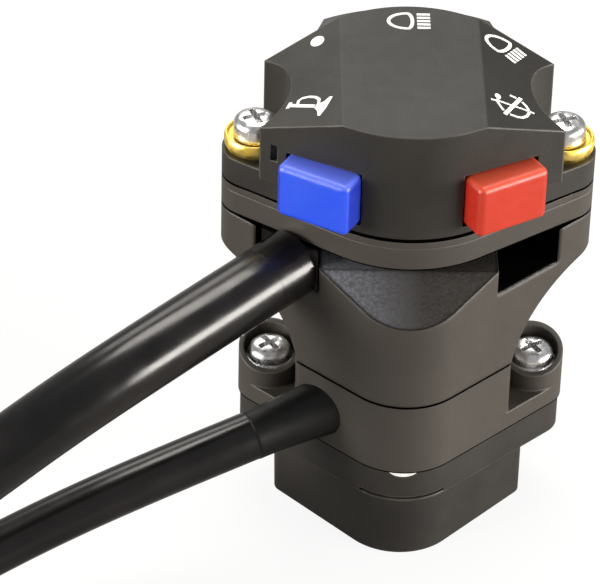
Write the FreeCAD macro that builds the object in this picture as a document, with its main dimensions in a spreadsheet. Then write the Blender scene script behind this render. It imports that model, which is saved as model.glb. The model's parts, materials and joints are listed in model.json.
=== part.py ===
import FreeCAD, Part
import math
import os

import Sketcher

# Handlebar switch: an upper module with horn button, kill button and light selector,
# a bridge that clamps the bar, and a lower module with the indicator lever.
# The origin is the centre of the bar bore. X runs along the bar, Y away from the rider,
# Z up. Heights are measured from the parting plane between base plate and bridge.

Vector = FreeCAD.Vector

# Driving sizes, in millimetres and degrees
SIZES = {
    # bar clamp
    "bar_radius": 11.1,
    "saddle_wall": 2.2,
    "saddle_width": 28,
    "bar_setback": 16.3,
    # plan of the upper module
    "case_radius": 16.5,
    "tray_radius": 15.9,
    "band_radius": 16.8,
    "ear_x": 21.44,
    "ear_radius": 4.65,
    "cover_wall": 1.8,
    # levels of the upper module
    "band_height": 3.6,
    "tray_height": 1.2,
    "ear_thickness": 4.2,
    "cap_level": 21.7,
    "wing_start": 9.75,
    "wing_drop": 21,
    "wing_x": 23,
    "wing_radius": 6.2,
    "scallop_radius": 10.3,
    "scallop_x": 26.9,
    "scallop_back": 0.4,
    "corner_room_out": 1,
    "corner_room_back": 1.6,
    "corner_room_radius": 2.6,
    "wing_slot_x": 18.9,
    "wing_slot_y": 9,
    "wing_slot_low": 12.6,
    "wing_slot_width": 0.9,
    "wing_slot_depth": 1.6,
    "wing_slot_height": 2.6,
    # gaps and reaches shared by many pieces
    "saddle_gap": 0.15,
    "bar_gap": 0.4,
    "running_gap": 0.05,
    "press_gap": 0.02,
    "bite": 0.5,
    "overrun": 1,
    # buttons
    "button_angle": 30,
    "button_width": 11.1,
    "button_height": 8.1,
    "button_depth": 3.8,
    "button_offset": 4.3,
    "button_inset": 0.1,
    "button_low": 6.3,
    "button_round": 0.9,
    "button_travel": 2,
    "button_gap": 0.2,
    "window_inside": 3,
    "window_depth": 9,
    "lip_width": 0.6,
    "lip_depth": 1.2,
    "stem_width": 2.6,
    "stem_length": 7.9,
    "post_depth": 1.8,
    "post_width": 9,
    "post_out": 6.5,
    "post_top": 13,
    "leaf_thickness": 0.3,
    "leaf_width": 3,
    "leaf_rise": 1.6,
    "leaf_foot": 2.4,
    "standoff_radius": 1.1,
    "standoff_x": 9.5,
    "standoff_back": 1.4,
    "wire_hole_x": 13,
    "wire_hole_y": 3.5,
    "wire_hole_radius": 2.2,
    # light selector
    "selector_low": 15.2,
    "selector_thickness": 1.7,
    "selector_radius": 13.4,
    "selector_bore": 3.6,
    "tab_radius": 23.6,
    "tab_inner": 19.4,
    "tab_half_angle": 47,
    "tab_corner_angle": 30,
    "tab_root": 3,
    "tab_slack": 1.5,
    "selector_travel": 15,
    "board_thickness": 1.2,
    "board_level": 12.7,
    "board_reach": 11.8,
    "board_front": 0.9,
    "board_width": 23,
    "board_edge": 0.3,
    "board_bore": 3.1,
    "ball_radius": 0.8,
    "ball_pocket": 1.2,
    "ball_reach": 11.2,
    "wiper_thickness": 0.4,
    "wiper_width": 9,
    "wiper_depth": 3,
    "wiper_reach": 7.5,
    "finger_width": 1.4,
    "finger_x": 3.6,
    "finger_bite": 0.1,
    "retainer_radius": 5.2,
    "retainer_thickness": 0.8,
    "small_head_radius": 2.3,
    "small_head_height": 1.3,
    "small_screw_radius": 1,
    "small_screw_length": 4,
    "small_slot_width": 0.6,
    "small_slot_length": 5,
    # bar hook
    "hook_width": 10,
    "hook_drop": 3.5,
    "hook_gap": 0.15,
    "hook_out": 0.7,
    "hook_thickness": 2.2,
    "hook_lug": 3,
    "rib_in": 0.9,
    "rib_gap": 0.2,
    # bridge
    "vee": 42,
    "nose_radius": 9.4,
    "bridge_height": 19.8,
    "block_half_width": 12.4,
    "block_drop": 1.75,
    "scoop_nose_drop": 6.2,
    "notch_x": 21.2,
    "notch_depth": 5.85,
    "neck_radius": 16.9,
    "neck_x": 31.9,
    "neck_drop": 22.2,
    "bridge_half_width": 15.2,
    "block_gap": 0.3,
    "web_front": 3,
    "pillar_inset": 0.35,
    "notch_back": 2,
    "scoop_run": 5,
    "core_radius": 7.2,
    "core_top": 9,
    "core_back": 5,
    "case_screw_x": 11,
    "case_screw_front": 2,
    "case_screw_radius": 1.15,
    "case_screw_length": 7.5,
    "case_screw_hole": 7,
    "case_head_radius": 2.2,
    "case_head_height": 1.4,
    # indicator case and lower cover
    "case_height": 11.7,
    "case_rear": 10,
    "case_corner": 1.5,
    "lower_ear_x": 18.88,
    "lower_ear_y": 2.5,
    "lower_ear_radius": 4.5,
    "collar_front": 25.8,
    "collar_run": 10,
    "seat_height": 5.4,
    "seat_radius": 3.75,
    "lower_flange": 3,
    "collar_slope": 20,
    "pivot_boss_radius": 3.3,
    "pivot_boss_drop": 1.2,
    "stop_width": 8,
    "stop_depth": 1.4,
    "stop_front": 2.6,
    "slot_side": 0.9,
    "slot_gap": 0.4,
    "slot_depth": 5,
    "gland_back": 15,
    "gland_radius": 3.05,
    "pin_pocket_radius": 2.5,
    "pin_pocket_height": 0.9,
    "pin_radius": 2.4,
    "pin_length": 2.5,
    "pin_seat": 2,
    "pin_behind": 3.2,
    "view_radius": 2.9,
    "view_depth": 0.95,
    "view_reach": 1.6,
    "flange_inset": 0.3,
    "groove_inset": 0.9,
    "groove_rise": 0.35,
    "groove_height": 0.45,
    "groove_width": 12,
    "block_rear": 2,
    "cover_boss_radius": 3.4,
    "pivot_rise": 8,
    "pivot_top": 1.6,
    "cover_flange": 5.4,
    "cover_height": 15.85,
    "cover_corner_x": 15.9,
    "cover_corner_y": 5.6,
    "cover_corner_radius": 2,
    "cover_nose_radius": 9,
    "cover_nose_y": 11.8,
    "case_wall": 1.6,
    # indicator lever
    "pivot_y": 1,
    "pivot_radius": 2,
    "hub_radius": 5,
    "lever_width": 6.4,
    "lever_thickness": 4,
    "lever_reach": 24,
    "lever_low": 29.6,
    "hub_low": 33,
    "hub_top": 24.6,
    "lever_travel": 14,
    "knob_width": 11,
    "knob_depth": 7,
    "knob_extra": 1.2,
    "knob_round": 1.1,
    "arm_bite": 3,
    "pocket_depth": 2.2,
    "pocket_length": 4,
    "detent_out": 0.9,
    "lower_board_width": 24,
    "lower_board_depth": 17,
    "lower_board_front": 1.5,
    "lower_board_drop": 3.1,
    "lower_wiper_front": 4,
    # fasteners
    "screw_radius": 1.95,
    "screw_gap": 0.2,
    "head_radius": 3.5,
    "head_height": 2.6,
    "head_dome": 5.4,
    "recess_depth": 1.1,
    "recess_width": 0.8,
    "recess_length": 3.6,
    "washer_radius": 4.4,
    "washer_height": 3,
    "washer_rim": 0.5,
    "washer_gap": 0.3,
    "insert_radius": 2.9,
    "insert_length": 5.4,
    "insert_drop": 0.2,
    "tip_gap": 0.4,
    "lower_reach": 10,
    "lower_insert_length": 5,
    "lower_insert_drop": 0.1,
    "tip_room": 8,
    # springs
    "button_spring_radius": 2.6,
    "button_spring_wire": 0.45,
    "detent_spring_radius": 0.5,
    "detent_spring_wire": 0.18,
    "spring_gap": 0.1,
    # grommet and boot
    "grommet_gap": 0.2,
    "grommet_depth": 8,
    "collar_length": 8,
    "collar_radius": 4.95,
    "boot_length": 17,
    "boot_base": 5.9,
    "boot_tip": 4,
    "boot_plug_length": 12.5,
    "boot_plug_radius": 3,
}


class Size:
    """A size: its value, and the sheet expression that gives it."""

    def __init__(self, value, text=None):
        self.value = float(value)
        if text is None:
            text = f"{value}" if value >= 0 else f"(0 - {-value})"
        self.text = text

    def __add__(self, other):
        other = size(other)
        return Size(self.value + other.value, f"({self.text} + {other.text})")

    def __sub__(self, other):
        other = size(other)
        return Size(self.value - other.value, f"({self.text} - {other.text})")

    def __mul__(self, other):
        other = size(other)
        return Size(self.value * other.value, f"({self.text} * {other.text})")

    def __truediv__(self, other):
        other = size(other)
        return Size(self.value / other.value, f"({self.text} / {other.text})")

    def __neg__(self):
        return Size(-self.value, f"(0 - {self.text})")

    def __rsub__(self, other):
        return size(other) - self

    __radd__ = __add__
    __rmul__ = __mul__


def size(value):
    """The value as a Size."""
    return value if isinstance(value, Size) else Size(value)


def sin(angle):
    return Size(math.sin(math.radians(angle.value)), f"sin({angle.text})")


def cos(angle):
    return Size(math.cos(math.radians(angle.value)), f"cos({angle.text})")


def tan(angle):
    return Size(math.tan(math.radians(angle.value)), f"tan({angle.text})")


class Sheet:
    """The driving sizes as attributes."""

    def __init__(self, sizes):
        for name, value in sizes.items():
            setattr(self, name, Size(value, f"Sizes.{name}"))


doc = FreeCAD.newDocument("HandlebarSwitch")
sheet = doc.addObject("Spreadsheet::Sheet", "Sizes")
for row, (alias, number) in enumerate(SIZES.items(), start=1):
    sheet.set(f"A{row}", alias.replace("_", " "))
    sheet.set(f"B{row}", str(number))
    sheet.setAlias(f"B{row}", alias)
doc.recompute()
S = Sheet(SIZES)

NODES = {}
SIDES = (("left", -1), ("right", 1))


def bind(item, prop, value):
    item.setExpression(prop, size(value).text)


def keep(name, item):
    """Marks an object as a finished piece."""
    item.Label = name
    NODES[name] = item
    return item


def place(item, x, y, z, rotation=FreeCAD.Rotation()):
    """Puts an object at a point given by sizes."""
    item.Placement = FreeCAD.Placement(Vector(0, 0, 0), rotation)
    for axis, value in (("x", x), ("y", y), ("z", z)):
        bind(item, f"Placement.Base.{axis}", value)
    return item


ALONG = {
    "X": FreeCAD.Rotation(Vector(0, 1, 0), 90),
    "Y": FreeCAD.Rotation(Vector(1, 0, 0), -90),
    "Z": FreeCAD.Rotation(),
}


def cylinder(radius, height, x, y, z, along="Z"):
    item = doc.addObject("Part::Cylinder", "Cylinder")
    bind(item, "Radius", radius)
    bind(item, "Height", height)
    return place(item, x, y, z, ALONG[along])


def sphere(radius, x, y, z):
    item = doc.addObject("Part::Sphere", "Sphere")
    bind(item, "Radius", radius)
    return place(item, x, y, z)


def block(width, depth, height, x, y, z, turn=0):
    """A box on its base centre, turned about Z."""
    width, depth, turn = size(width), size(depth), size(turn)
    item = doc.addObject("Part::Box", "Box")
    bind(item, "Length", width)
    bind(item, "Width", depth)
    bind(item, "Height", height)
    across = (width * cos(turn) - depth * sin(turn)) / 2
    back = (width * sin(turn) + depth * cos(turn)) / 2
    place(item, x - across, y - back, z, FreeCAD.Rotation(Vector(0, 0, 1), turn.value))
    if turn.value:
        bind(item, "Placement.Rotation.Angle", turn)
    return item


def fuse(*shapes):
    item = doc.addObject("Part::MultiFuse", "Fuse")
    item.Shapes = list(shapes)
    item.Refine = True
    return item


def common(base, tool):
    item = doc.addObject("Part::Common", "Common")
    item.Base = base
    item.Tool = tool
    return item


def cut(base, *tools):
    item = doc.addObject("Part::Cut", "Cut")
    item.Base = base
    item.Tool = tools[0] if len(tools) == 1 else fuse(*tools)
    item.Refine = True
    return item


def body_sketch(name, plane, offset):
    """A body with a sketch on one of its origin planes, lifted along the plane's normal."""
    body = doc.addObject("PartDesign::Body", name)
    sketch = body.newObject("Sketcher::SketchObject", f"{name}Sketch")
    base = [f for f in body.Origin.OriginFeatures if f.Role == plane][0]
    sketch.AttachmentSupport = [(base, "")]
    sketch.MapMode = "FlatFace"
    sketch.setExpression("AttachmentOffset.Base.z", size(offset).text)
    return body, sketch


def pin_point(sketch, item, corner, x, y):
    """Holds a point of the sketch at sizes measured from its origin."""
    for kind, axis, value in (("DistanceX", -2, size(x)), ("DistanceY", -1, size(y))):
        if value.value == 0:
            sketch.addConstraint(Sketcher.Constraint("PointOnObject", item, corner, axis))
        else:
            index = sketch.addConstraint(
                Sketcher.Constraint(kind, -1, 1, item, corner, value.value)
            )
            sketch.setExpression(f"Constraints[{index}]", value.text)


def pad(body, sketch, length, both_ways=False):
    feature = body.newObject("PartDesign::Pad", "Pad")
    feature.Profile = sketch
    bind(feature, "Length", length)
    if both_ways:
        feature.SideType = "Symmetric"
    sketch.Visibility = False
    return feature


def hull(name, circles, z, height):
    """A prism round circles (x, y, radius), given anticlockwise: tangent lines and arcs."""
    body, sketch = body_sketch(name, "XY_Plane", z)
    spots = [tuple(size(v) for v in circle) for circle in circles]
    count = len(spots)
    normals = []
    for here in range(count):
        x0, y0, r0 = (v.value for v in spots[here])
        x1, y1, r1 = (v.value for v in spots[(here + 1) % count])
        span = math.hypot(x1 - x0, y1 - y0)
        lean = math.asin((r0 - r1) / span)
        heading = math.atan2(y1 - y0, x1 - x0)
        normals.append(heading - math.pi / 2 + lean)
    for here in range(count):
        x0, y0, r0 = (v.value for v in spots[here])
        start, end = normals[here - 1], normals[here]
        while end <= start:
            end += 2 * math.pi
        circle = Part.Circle(Vector(x0, y0, 0), Vector(0, 0, 1), r0)
        sketch.addGeometry(Part.ArcOfCircle(circle, start, end))
    for here in range(count):
        following = (here + 1) % count
        ends = []
        for spot in (here, following):
            x0, y0, r0 = (v.value for v in spots[spot])
            reach = Vector(math.cos(normals[here]), math.sin(normals[here]), 0) * r0
            ends.append(Vector(x0, y0, 0) + reach)
        sketch.addGeometry(Part.LineSegment(*ends))
    for here in range(count):
        following = (here + 1) % count
        line = count + here
        sketch.addConstraint(Sketcher.Constraint("Tangent", here, 2, line, 1))
        sketch.addConstraint(Sketcher.Constraint("Tangent", line, 2, following, 1))
    for here, (x, y, radius) in enumerate(spots):
        pin_point(sketch, here, 3, x, y)
        index = sketch.addConstraint(Sketcher.Constraint("Radius", here, radius.value))
        sketch.setExpression(f"Constraints[{index}]", radius.text)
    pad(body, sketch, height)
    return body


def polygon(name, plane, offset, points, length, both_ways=False):
    """A prism on a polygon of (across, up) points in one of the origin planes."""
    body, sketch = body_sketch(name, plane, offset)
    corners = [(size(a), size(b)) for a, b in points]
    count = len(corners)
    for here in range(count):
        a, b = corners[here], corners[(here + 1) % count]
        sketch.addGeometry(
            Part.LineSegment(Vector(a[0].value, a[1].value, 0), Vector(b[0].value, b[1].value, 0))
        )
    for here in range(count):
        sketch.addConstraint(
            Sketcher.Constraint("Coincident", here, 2, (here + 1) % count, 1)
        )
    for here, (across, up) in enumerate(corners):
        pin_point(sketch, here, 1, across, up)
    pad(body, sketch, length, both_ways)
    return body


def slab(name, width, depth, height, rounding, x, y, z, turn=0):
    """A block on its base centre with every edge rounded."""
    width, depth, turn = size(width), size(depth), size(turn)
    body, sketch = body_sketch(name, "XY_Plane", 0)
    half_w, half_d = width / 2, depth / 2
    corners = [(-half_w, -half_d), (half_w, -half_d), (half_w, half_d), (-half_w, half_d)]
    for here in range(4):
        a, b = corners[here], corners[(here + 1) % 4]
        sketch.addGeometry(
            Part.LineSegment(Vector(a[0].value, a[1].value, 0), Vector(b[0].value, b[1].value, 0))
        )
    for here in range(4):
        sketch.addConstraint(Sketcher.Constraint("Coincident", here, 2, (here + 1) % 4, 1))
    for here, (across, up) in enumerate(corners):
        pin_point(sketch, here, 1, across, up)
    base = pad(body, sketch, height)
    doc.recompute()
    rounded = body.newObject("PartDesign::Fillet", "Fillet")
    rounded.Base = (base, ["Edge1"])
    rounded.UseAllEdges = True
    bind(rounded, "Radius", rounding)
    place(body, x, y, z, FreeCAD.Rotation(Vector(0, 0, 1), turn.value))
    if turn.value:
        bind(body, "Placement.Rotation.Angle", turn)
    return body


# Shared places
AXIS = -S.bar_setback
SADDLE = S.bar_radius + S.saddle_wall
TRAY_TOP = S.band_height + S.tray_height
EAR_TOP = TRAY_TOP + S.ear_thickness
BRIDGE_LOW = -S.bridge_height
CASE_ROOF = BRIDGE_LOW - S.case_wall
CASE_LOW = BRIDGE_LOW - S.case_height
COVER_FLANGE_LOW = CASE_LOW - S.cover_flange
FLOOR = CASE_LOW - S.cover_height
VEE_REACH = S.ear_x * sin(S.vee) + S.ear_radius
NOSE_Y = AXIS - (VEE_REACH - S.nose_radius) / cos(S.vee)
LOWER_EAR_Y = AXIS - S.lower_ear_y
HOLE = S.screw_radius + S.screw_gap
FAR = size(40)
HOOK_FACE = SADDLE + S.hook_out
HOOK_REACH = HOOK_FACE + S.hook_thickness
NOTCH_MID = (S.notch_x + S.block_half_width) / 2
NOTCH_WIDTH = S.notch_x - S.block_half_width
CASE_SCREW_Y = AXIS - S.case_screw_front
PIVOT_Y = AXIS + S.pivot_y
PIN_Y = NOSE_Y - S.nose_radius + S.pin_behind
PIN_LOW = CASE_LOW - S.pin_seat
PIVOT_TOP = S.pivot_top - S.hub_top
PIVOT_LOW = FLOOR + S.pivot_rise
LOWER_BOARD = -S.hub_low - S.lower_board_drop
LEVER_MID = S.lever_thickness / 2 - S.lever_low
DETENT_Y = PIVOT_Y - S.hub_radius - S.detent_out
POCKET_END = PIVOT_Y - S.hub_radius + S.pocket_depth


def upper_plan(name, radius, z, height):
    """The upper module's plan: a disc drawn out to the two screw ears."""
    disc = (0, AXIS, radius)
    ears = [(side * S.ear_x, AXIS, S.ear_radius) for _, side in SIDES]
    return hull(name, [disc, ears[1], disc, ears[0]], z, height)


def vee_plan(name, z, height):
    """The bridge's plan: both ears and a round nose towards the rider."""
    ears = [(side * S.ear_x, AXIS, S.ear_radius) for _, side in SIDES]
    return hull(name, [(0, NOSE_Y, S.nose_radius), ears[1], ears[0]], z, height)


def bar_hole(radius, half_width=FAR):
    """A cylinder along the bar."""
    return cylinder(radius, half_width * 2, -half_width, 0, 0, "X")


def ear_holes(radius, z, height):
    return [cylinder(radius, height, side * S.ear_x, AXIS, z) for _, side in SIDES]


def button_spot(side, out, across):
    """A point at a distance out along a button's direction and across its face."""
    x = side * (out * sin(S.button_angle) + across * cos(S.button_angle))
    y = AXIS - out * cos(S.button_angle) + across * sin(S.button_angle)
    return x, y


def roof(name, drop):
    """Everything under the cap's top, flat in the middle and falling to both wings."""
    fall = (FAR - S.wing_start) * tan(S.wing_drop)
    top = S.cap_level - drop
    upper = [(FAR, top - fall), (S.wing_start, top), (-S.wing_start, top), (-FAR, top - fall)]
    return polygon(name, "XZ_Plane", -AXIS, upper + [(-FAR, -FAR), (FAR, -FAR)], FAR * 2, True)


# Levels and distances at the buttons
BUTTON_MID = S.button_low + S.button_height / 2
BUTTON_TOP = S.button_low + S.button_height
WALL_IN = S.case_radius - S.cover_wall
LIP_OUT = WALL_IN - S.button_inset
LIP_IN = LIP_OUT - S.lip_depth
STEM_END = LIP_IN - S.stem_length
TAB_SWEEP = S.tab_half_angle + S.selector_travel


def button_block(side, width, depth, height, out, z):
    """A block across one button's direction, its outer face at a distance out."""
    x, y = button_spot(side, out - depth / 2, S.button_offset)
    return block(width, depth, height, x, y, z, side * S.button_angle)


def lip_rooms():
    """The spaces in which the buttons' lips move, behind the wall."""
    width = S.button_width + (S.lip_width + S.button_gap) * 2
    low = S.button_low - S.lip_width - S.button_gap
    height = S.button_height + (S.lip_width + S.button_gap) * 2
    depth = S.lip_depth + S.button_travel + S.button_gap * 2
    return [button_block(side, width, depth, height, WALL_IN, low) for _, side in SIDES]


# Top cover
def window(side):
    """The space of one button's cap, at its place in the wall."""
    out = WALL_IN - S.window_inside
    x, y = button_spot(side, out + S.window_depth / 2, S.button_offset)
    width = S.button_width + S.button_gap * 2
    height = S.button_height + S.button_gap * 2
    return block(width, S.window_depth, height, x, y, S.button_low - S.button_gap,
                 side * S.button_angle)


def bar_rooms():
    """The bar and its saddle, with the gaps that the covers keep from them."""
    saddle = bar_hole(SADDLE + S.saddle_gap, S.saddle_width / 2 + S.saddle_gap)
    return [saddle, bar_hole(S.bar_radius + S.bar_gap)]


def sector(name, inner, corner, outer, half_angle, corner_angle, z, height):
    """A tab about the disc axis: straight flanks, slanted corners and a round outer edge."""
    body, sketch = body_sketch(name, "XY_Plane", z)
    points = [
        (inner * sin(half_angle), AXIS + inner * cos(half_angle)),
        (corner * sin(half_angle), AXIS + corner * cos(half_angle)),
        (outer * sin(corner_angle), AXIS + outer * cos(corner_angle)),
    ]
    points += [(-x, y) for x, y in reversed(points)]
    order = [0, 1, 2, 3, 4, 5]
    spots = [Vector(points[i][0].value, points[i][1].value, 0) for i in order]
    for here in range(6):
        start, end = spots[here], spots[(here + 1) % 6]
        if here == 2:
            crown = Vector(0, (AXIS + outer).value, 0)
            sketch.addGeometry(Part.Arc(start, crown, end))
        else:
            sketch.addGeometry(Part.LineSegment(start, end))
    for here in range(6):
        following = (here + 1) % 6
        # An arc drawn anticlockwise keeps its given start as its first point
        sketch.addConstraint(Sketcher.Constraint("Coincident", here, 2, following, 1))
    for here in range(6):
        pin_point(sketch, here, 1, *points[here])
    index = sketch.addConstraint(Sketcher.Constraint("Radius", 2, outer.value))
    sketch.setExpression(f"Constraints[{index}]", outer.text)
    pad(body, sketch, height)
    return body


def make_top_cover():
    disc = (0, AXIS, S.case_radius)
    wings = [(side * S.wing_x, AXIS, S.wing_radius) for _, side in SIDES]
    plan = hull("CapPlan", [disc, wings[1], disc, wings[0]], EAR_TOP, S.cap_level - EAR_TOP)
    scallops = [
        cylinder(S.scallop_radius, FAR, side * S.scallop_x, AXIS + S.scallop_back, EAR_TOP)
        for _, side in SIDES
    ]
    ears = upper_plan("EarPlan", S.case_radius, TRAY_TOP, S.ear_thickness)
    shell = fuse(cut(common(plan, roof("CapRoof", 0)), *scallops), ears)
    corner_x = WALL_IN * cos(S.button_angle) + S.corner_room_out
    corner_y = AXIS - WALL_IN * sin(S.button_angle) + S.corner_room_back
    corners = [(side * corner_x, corner_y, S.corner_room_radius) for _, side in SIDES]
    inner = (0, AXIS, WALL_IN)
    room = common(
        hull("CoverRoom", [inner, corners[1], inner, corners[0]], 0, S.cap_level),
        roof("RoomRoof", S.cover_wall),
    )
    slot_low = S.selector_low - S.button_gap
    slot = sector(
        "SelectorSlot", S.selector_radius - S.tab_root, FAR, FAR, TAB_SWEEP + S.tab_slack,
        S.tab_corner_angle, slot_low, S.selector_thickness + S.button_gap * 2,
    )
    wing_slot = block(S.wing_slot_width, S.wing_slot_depth, S.wing_slot_height,
                      -S.wing_slot_x, AXIS - S.wing_slot_y, S.wing_slot_low)
    hollow = cut(
        shell, room, slot, wing_slot, *bar_rooms(), *[window(side) for _, side in SIDES],
        *lip_rooms(), *ear_holes(HOLE, 0, EAR_TOP + S.overrun),
    )
    boss = cylinder(S.selector_bore - S.running_gap, S.cap_level - S.cover_wall - slot_low,
                    0, AXIS, slot_low)
    pilot = cylinder(S.small_screw_radius + S.running_gap,
                     S.small_screw_length + S.small_slot_width, 0, AXIS, slot_low)
    return keep("top_cover", cut(fuse(hollow, boss), pilot))


# Button case and the contacts that stand in it
def wire_hole():
    """The way down for the upper module's wires, on the left."""
    return cylinder(S.wire_hole_radius, EAR_TOP, -S.wire_hole_x, AXIS - S.wire_hole_y, 0)


def make_button_case():
    """A tray with the posts that the buttons' springs push against."""
    tray = upper_plan("Tray", S.tray_radius, S.band_height, S.tray_height)
    posts = [
        button_block(side, S.post_width, S.post_depth, S.post_top - TRAY_TOP + S.bite,
                     S.post_out + S.post_depth, TRAY_TOP - S.bite)
        for _, side in SIDES
    ]
    standoffs = [
        cylinder(S.standoff_radius, S.board_level - S.band_height,
                 side * S.standoff_x, AXIS + S.standoff_back, S.band_height)
        for _, side in SIDES
    ]
    stem_room = S.stem_width + S.running_gap * 2
    stem_ways = [
        button_block(side, stem_room, S.post_depth * 3, stem_room,
                     S.post_out + S.post_depth * 2, BUTTON_MID - stem_room / 2)
        for _, side in SIDES
    ]
    keep("button_case", cut(
        fuse(tray, *posts, *standoffs), *stem_ways, *bar_rooms(), wire_hole(),
        *ear_holes(HOLE, 0, EAR_TOP),
    ))


def make_base_plate():
    band = upper_plan("Band", S.band_radius, 0, S.band_height)
    half = S.saddle_width / 2
    ring = cylinder(SADDLE, S.saddle_width, -half, 0, 0, "X")
    saddle = common(ring, block(FAR, FAR, SADDLE + S.overrun, 0, 0, 0))
    lug_start = S.bar_radius + S.bar_gap
    lug = block(S.hook_width, HOOK_REACH - lug_start, S.hook_lug,
                0, (HOOK_REACH + lug_start) / 2, 0)
    finger = block(S.hook_width, HOOK_REACH - HOOK_FACE, S.hook_drop + S.overrun,
                   0, (HOOK_REACH + HOOK_FACE) / 2, -S.hook_drop)
    keep("base_plate", cut(
        fuse(band, saddle, lug, finger), bar_hole(S.bar_radius), wire_hole(),
        *ear_holes(HOLE, 0, EAR_TOP),
    ))


def make_button(name, side):
    """A cap with rounded edges, the lip that stops it behind the wall, and its stem."""
    out = S.case_radius + S.button_depth
    depth = out - LIP_IN
    x, y = button_spot(side, out - depth / 2, S.button_offset)
    cap = slab(f"Cap{name}", S.button_width, depth, S.button_height, S.button_round,
               x, y, S.button_low, side * S.button_angle)
    lip = button_block(side, S.button_width + S.lip_width * 2, S.lip_depth,
                       S.button_height + S.lip_width * 2, LIP_OUT, S.button_low - S.lip_width)
    stem = button_block(side, S.stem_width, S.stem_length + S.bite, S.stem_width,
                        LIP_IN + S.bite, BUTTON_MID - S.stem_width / 2)
    keep(name, fuse(cap, lip, stem))


def make_leaf(name, side):
    """A bronze leaf that the stem's end pushes, on a foot on the tray."""
    face = STEM_END - S.button_travel - S.button_gap
    leaf = button_block(side, S.leaf_width, S.leaf_thickness,
                        BUTTON_MID + S.leaf_rise - TRAY_TOP, face, TRAY_TOP)
    foot = button_block(side, S.leaf_width, S.leaf_foot, S.leaf_thickness, face, TRAY_TOP)
    keep(name, fuse(leaf, foot))


# Light selector
def wiper(name, y, plate_low, finger_low):
    """A contact plate with two fingers down to a board."""
    plate = block(S.wiper_width, S.wiper_depth, S.wiper_thickness, 0, y, plate_low)
    fingers = [
        block(S.finger_width, S.finger_width, plate_low - finger_low + S.finger_bite,
              side * S.finger_x, y, finger_low)
        for _, side in SIDES
    ]
    keep(name, fuse(plate, *fingers))


def make_selector():
    ring = cylinder(S.selector_radius, S.selector_thickness, 0, AXIS, S.selector_low)
    tab = sector("SelectorTab", S.selector_radius - S.tab_root, S.tab_inner, S.tab_radius,
                 S.tab_half_angle, S.tab_corner_angle, S.selector_low, S.selector_thickness)
    bore = cylinder(S.selector_bore, FAR, 0, AXIS, 0)
    pocket = cylinder(S.ball_radius + S.running_gap, S.ball_pocket, 0,
                      AXIS + S.ball_reach, S.selector_low)
    keep("light_selector", cut(fuse(ring, tab), bore, pocket))
    finger_low = S.board_level + S.board_thickness + S.running_gap
    wiper("selector_wiper", AXIS + S.wiper_reach, S.selector_low - S.wiper_thickness, finger_low)
    ball_z = finger_low + S.ball_radius
    keep("selector_detent_ball", sphere(S.ball_radius, 0, AXIS + S.ball_reach, ball_z))
    washer_low = S.selector_low - S.button_gap - S.retainer_thickness
    washer = cut(
        cylinder(S.retainer_radius, S.retainer_thickness, 0, AXIS, washer_low),
        cylinder(S.small_screw_radius + S.running_gap * 2, FAR, 0, AXIS, 0),
    )
    keep("selector_washer", washer)
    head_low = washer_low - S.small_head_height
    head = cylinder(S.small_head_radius, S.small_head_height, 0, AXIS, head_low)
    shank = cylinder(S.small_screw_radius, S.retainer_thickness + S.small_screw_length,
                     0, AXIS, washer_low - S.button_gap)
    slot = block(S.small_slot_width, S.small_slot_length, S.small_slot_width,
                 0, AXIS, head_low - S.finger_bite)
    keep("selector_screw", cut(fuse(head, shank), slot))


def make_switch_board():
    board = block(S.board_width, S.board_reach - S.board_front, S.board_thickness,
                  0, AXIS + (S.board_reach + S.board_front) / 2, S.board_level)
    disc = cylinder(S.selector_radius - S.board_edge, S.board_thickness, 0, AXIS, S.board_level)
    keep("switch_board", cut(common(board, disc), cylinder(S.board_bore, FAR, 0, AXIS, 0)))


# Bridge between the two modules
def vee_wall_y(x):
    """Where the bridge's front wall stands at a distance x from the middle."""
    return AXIS - (VEE_REACH - x * sin(S.vee)) / cos(S.vee)


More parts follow.
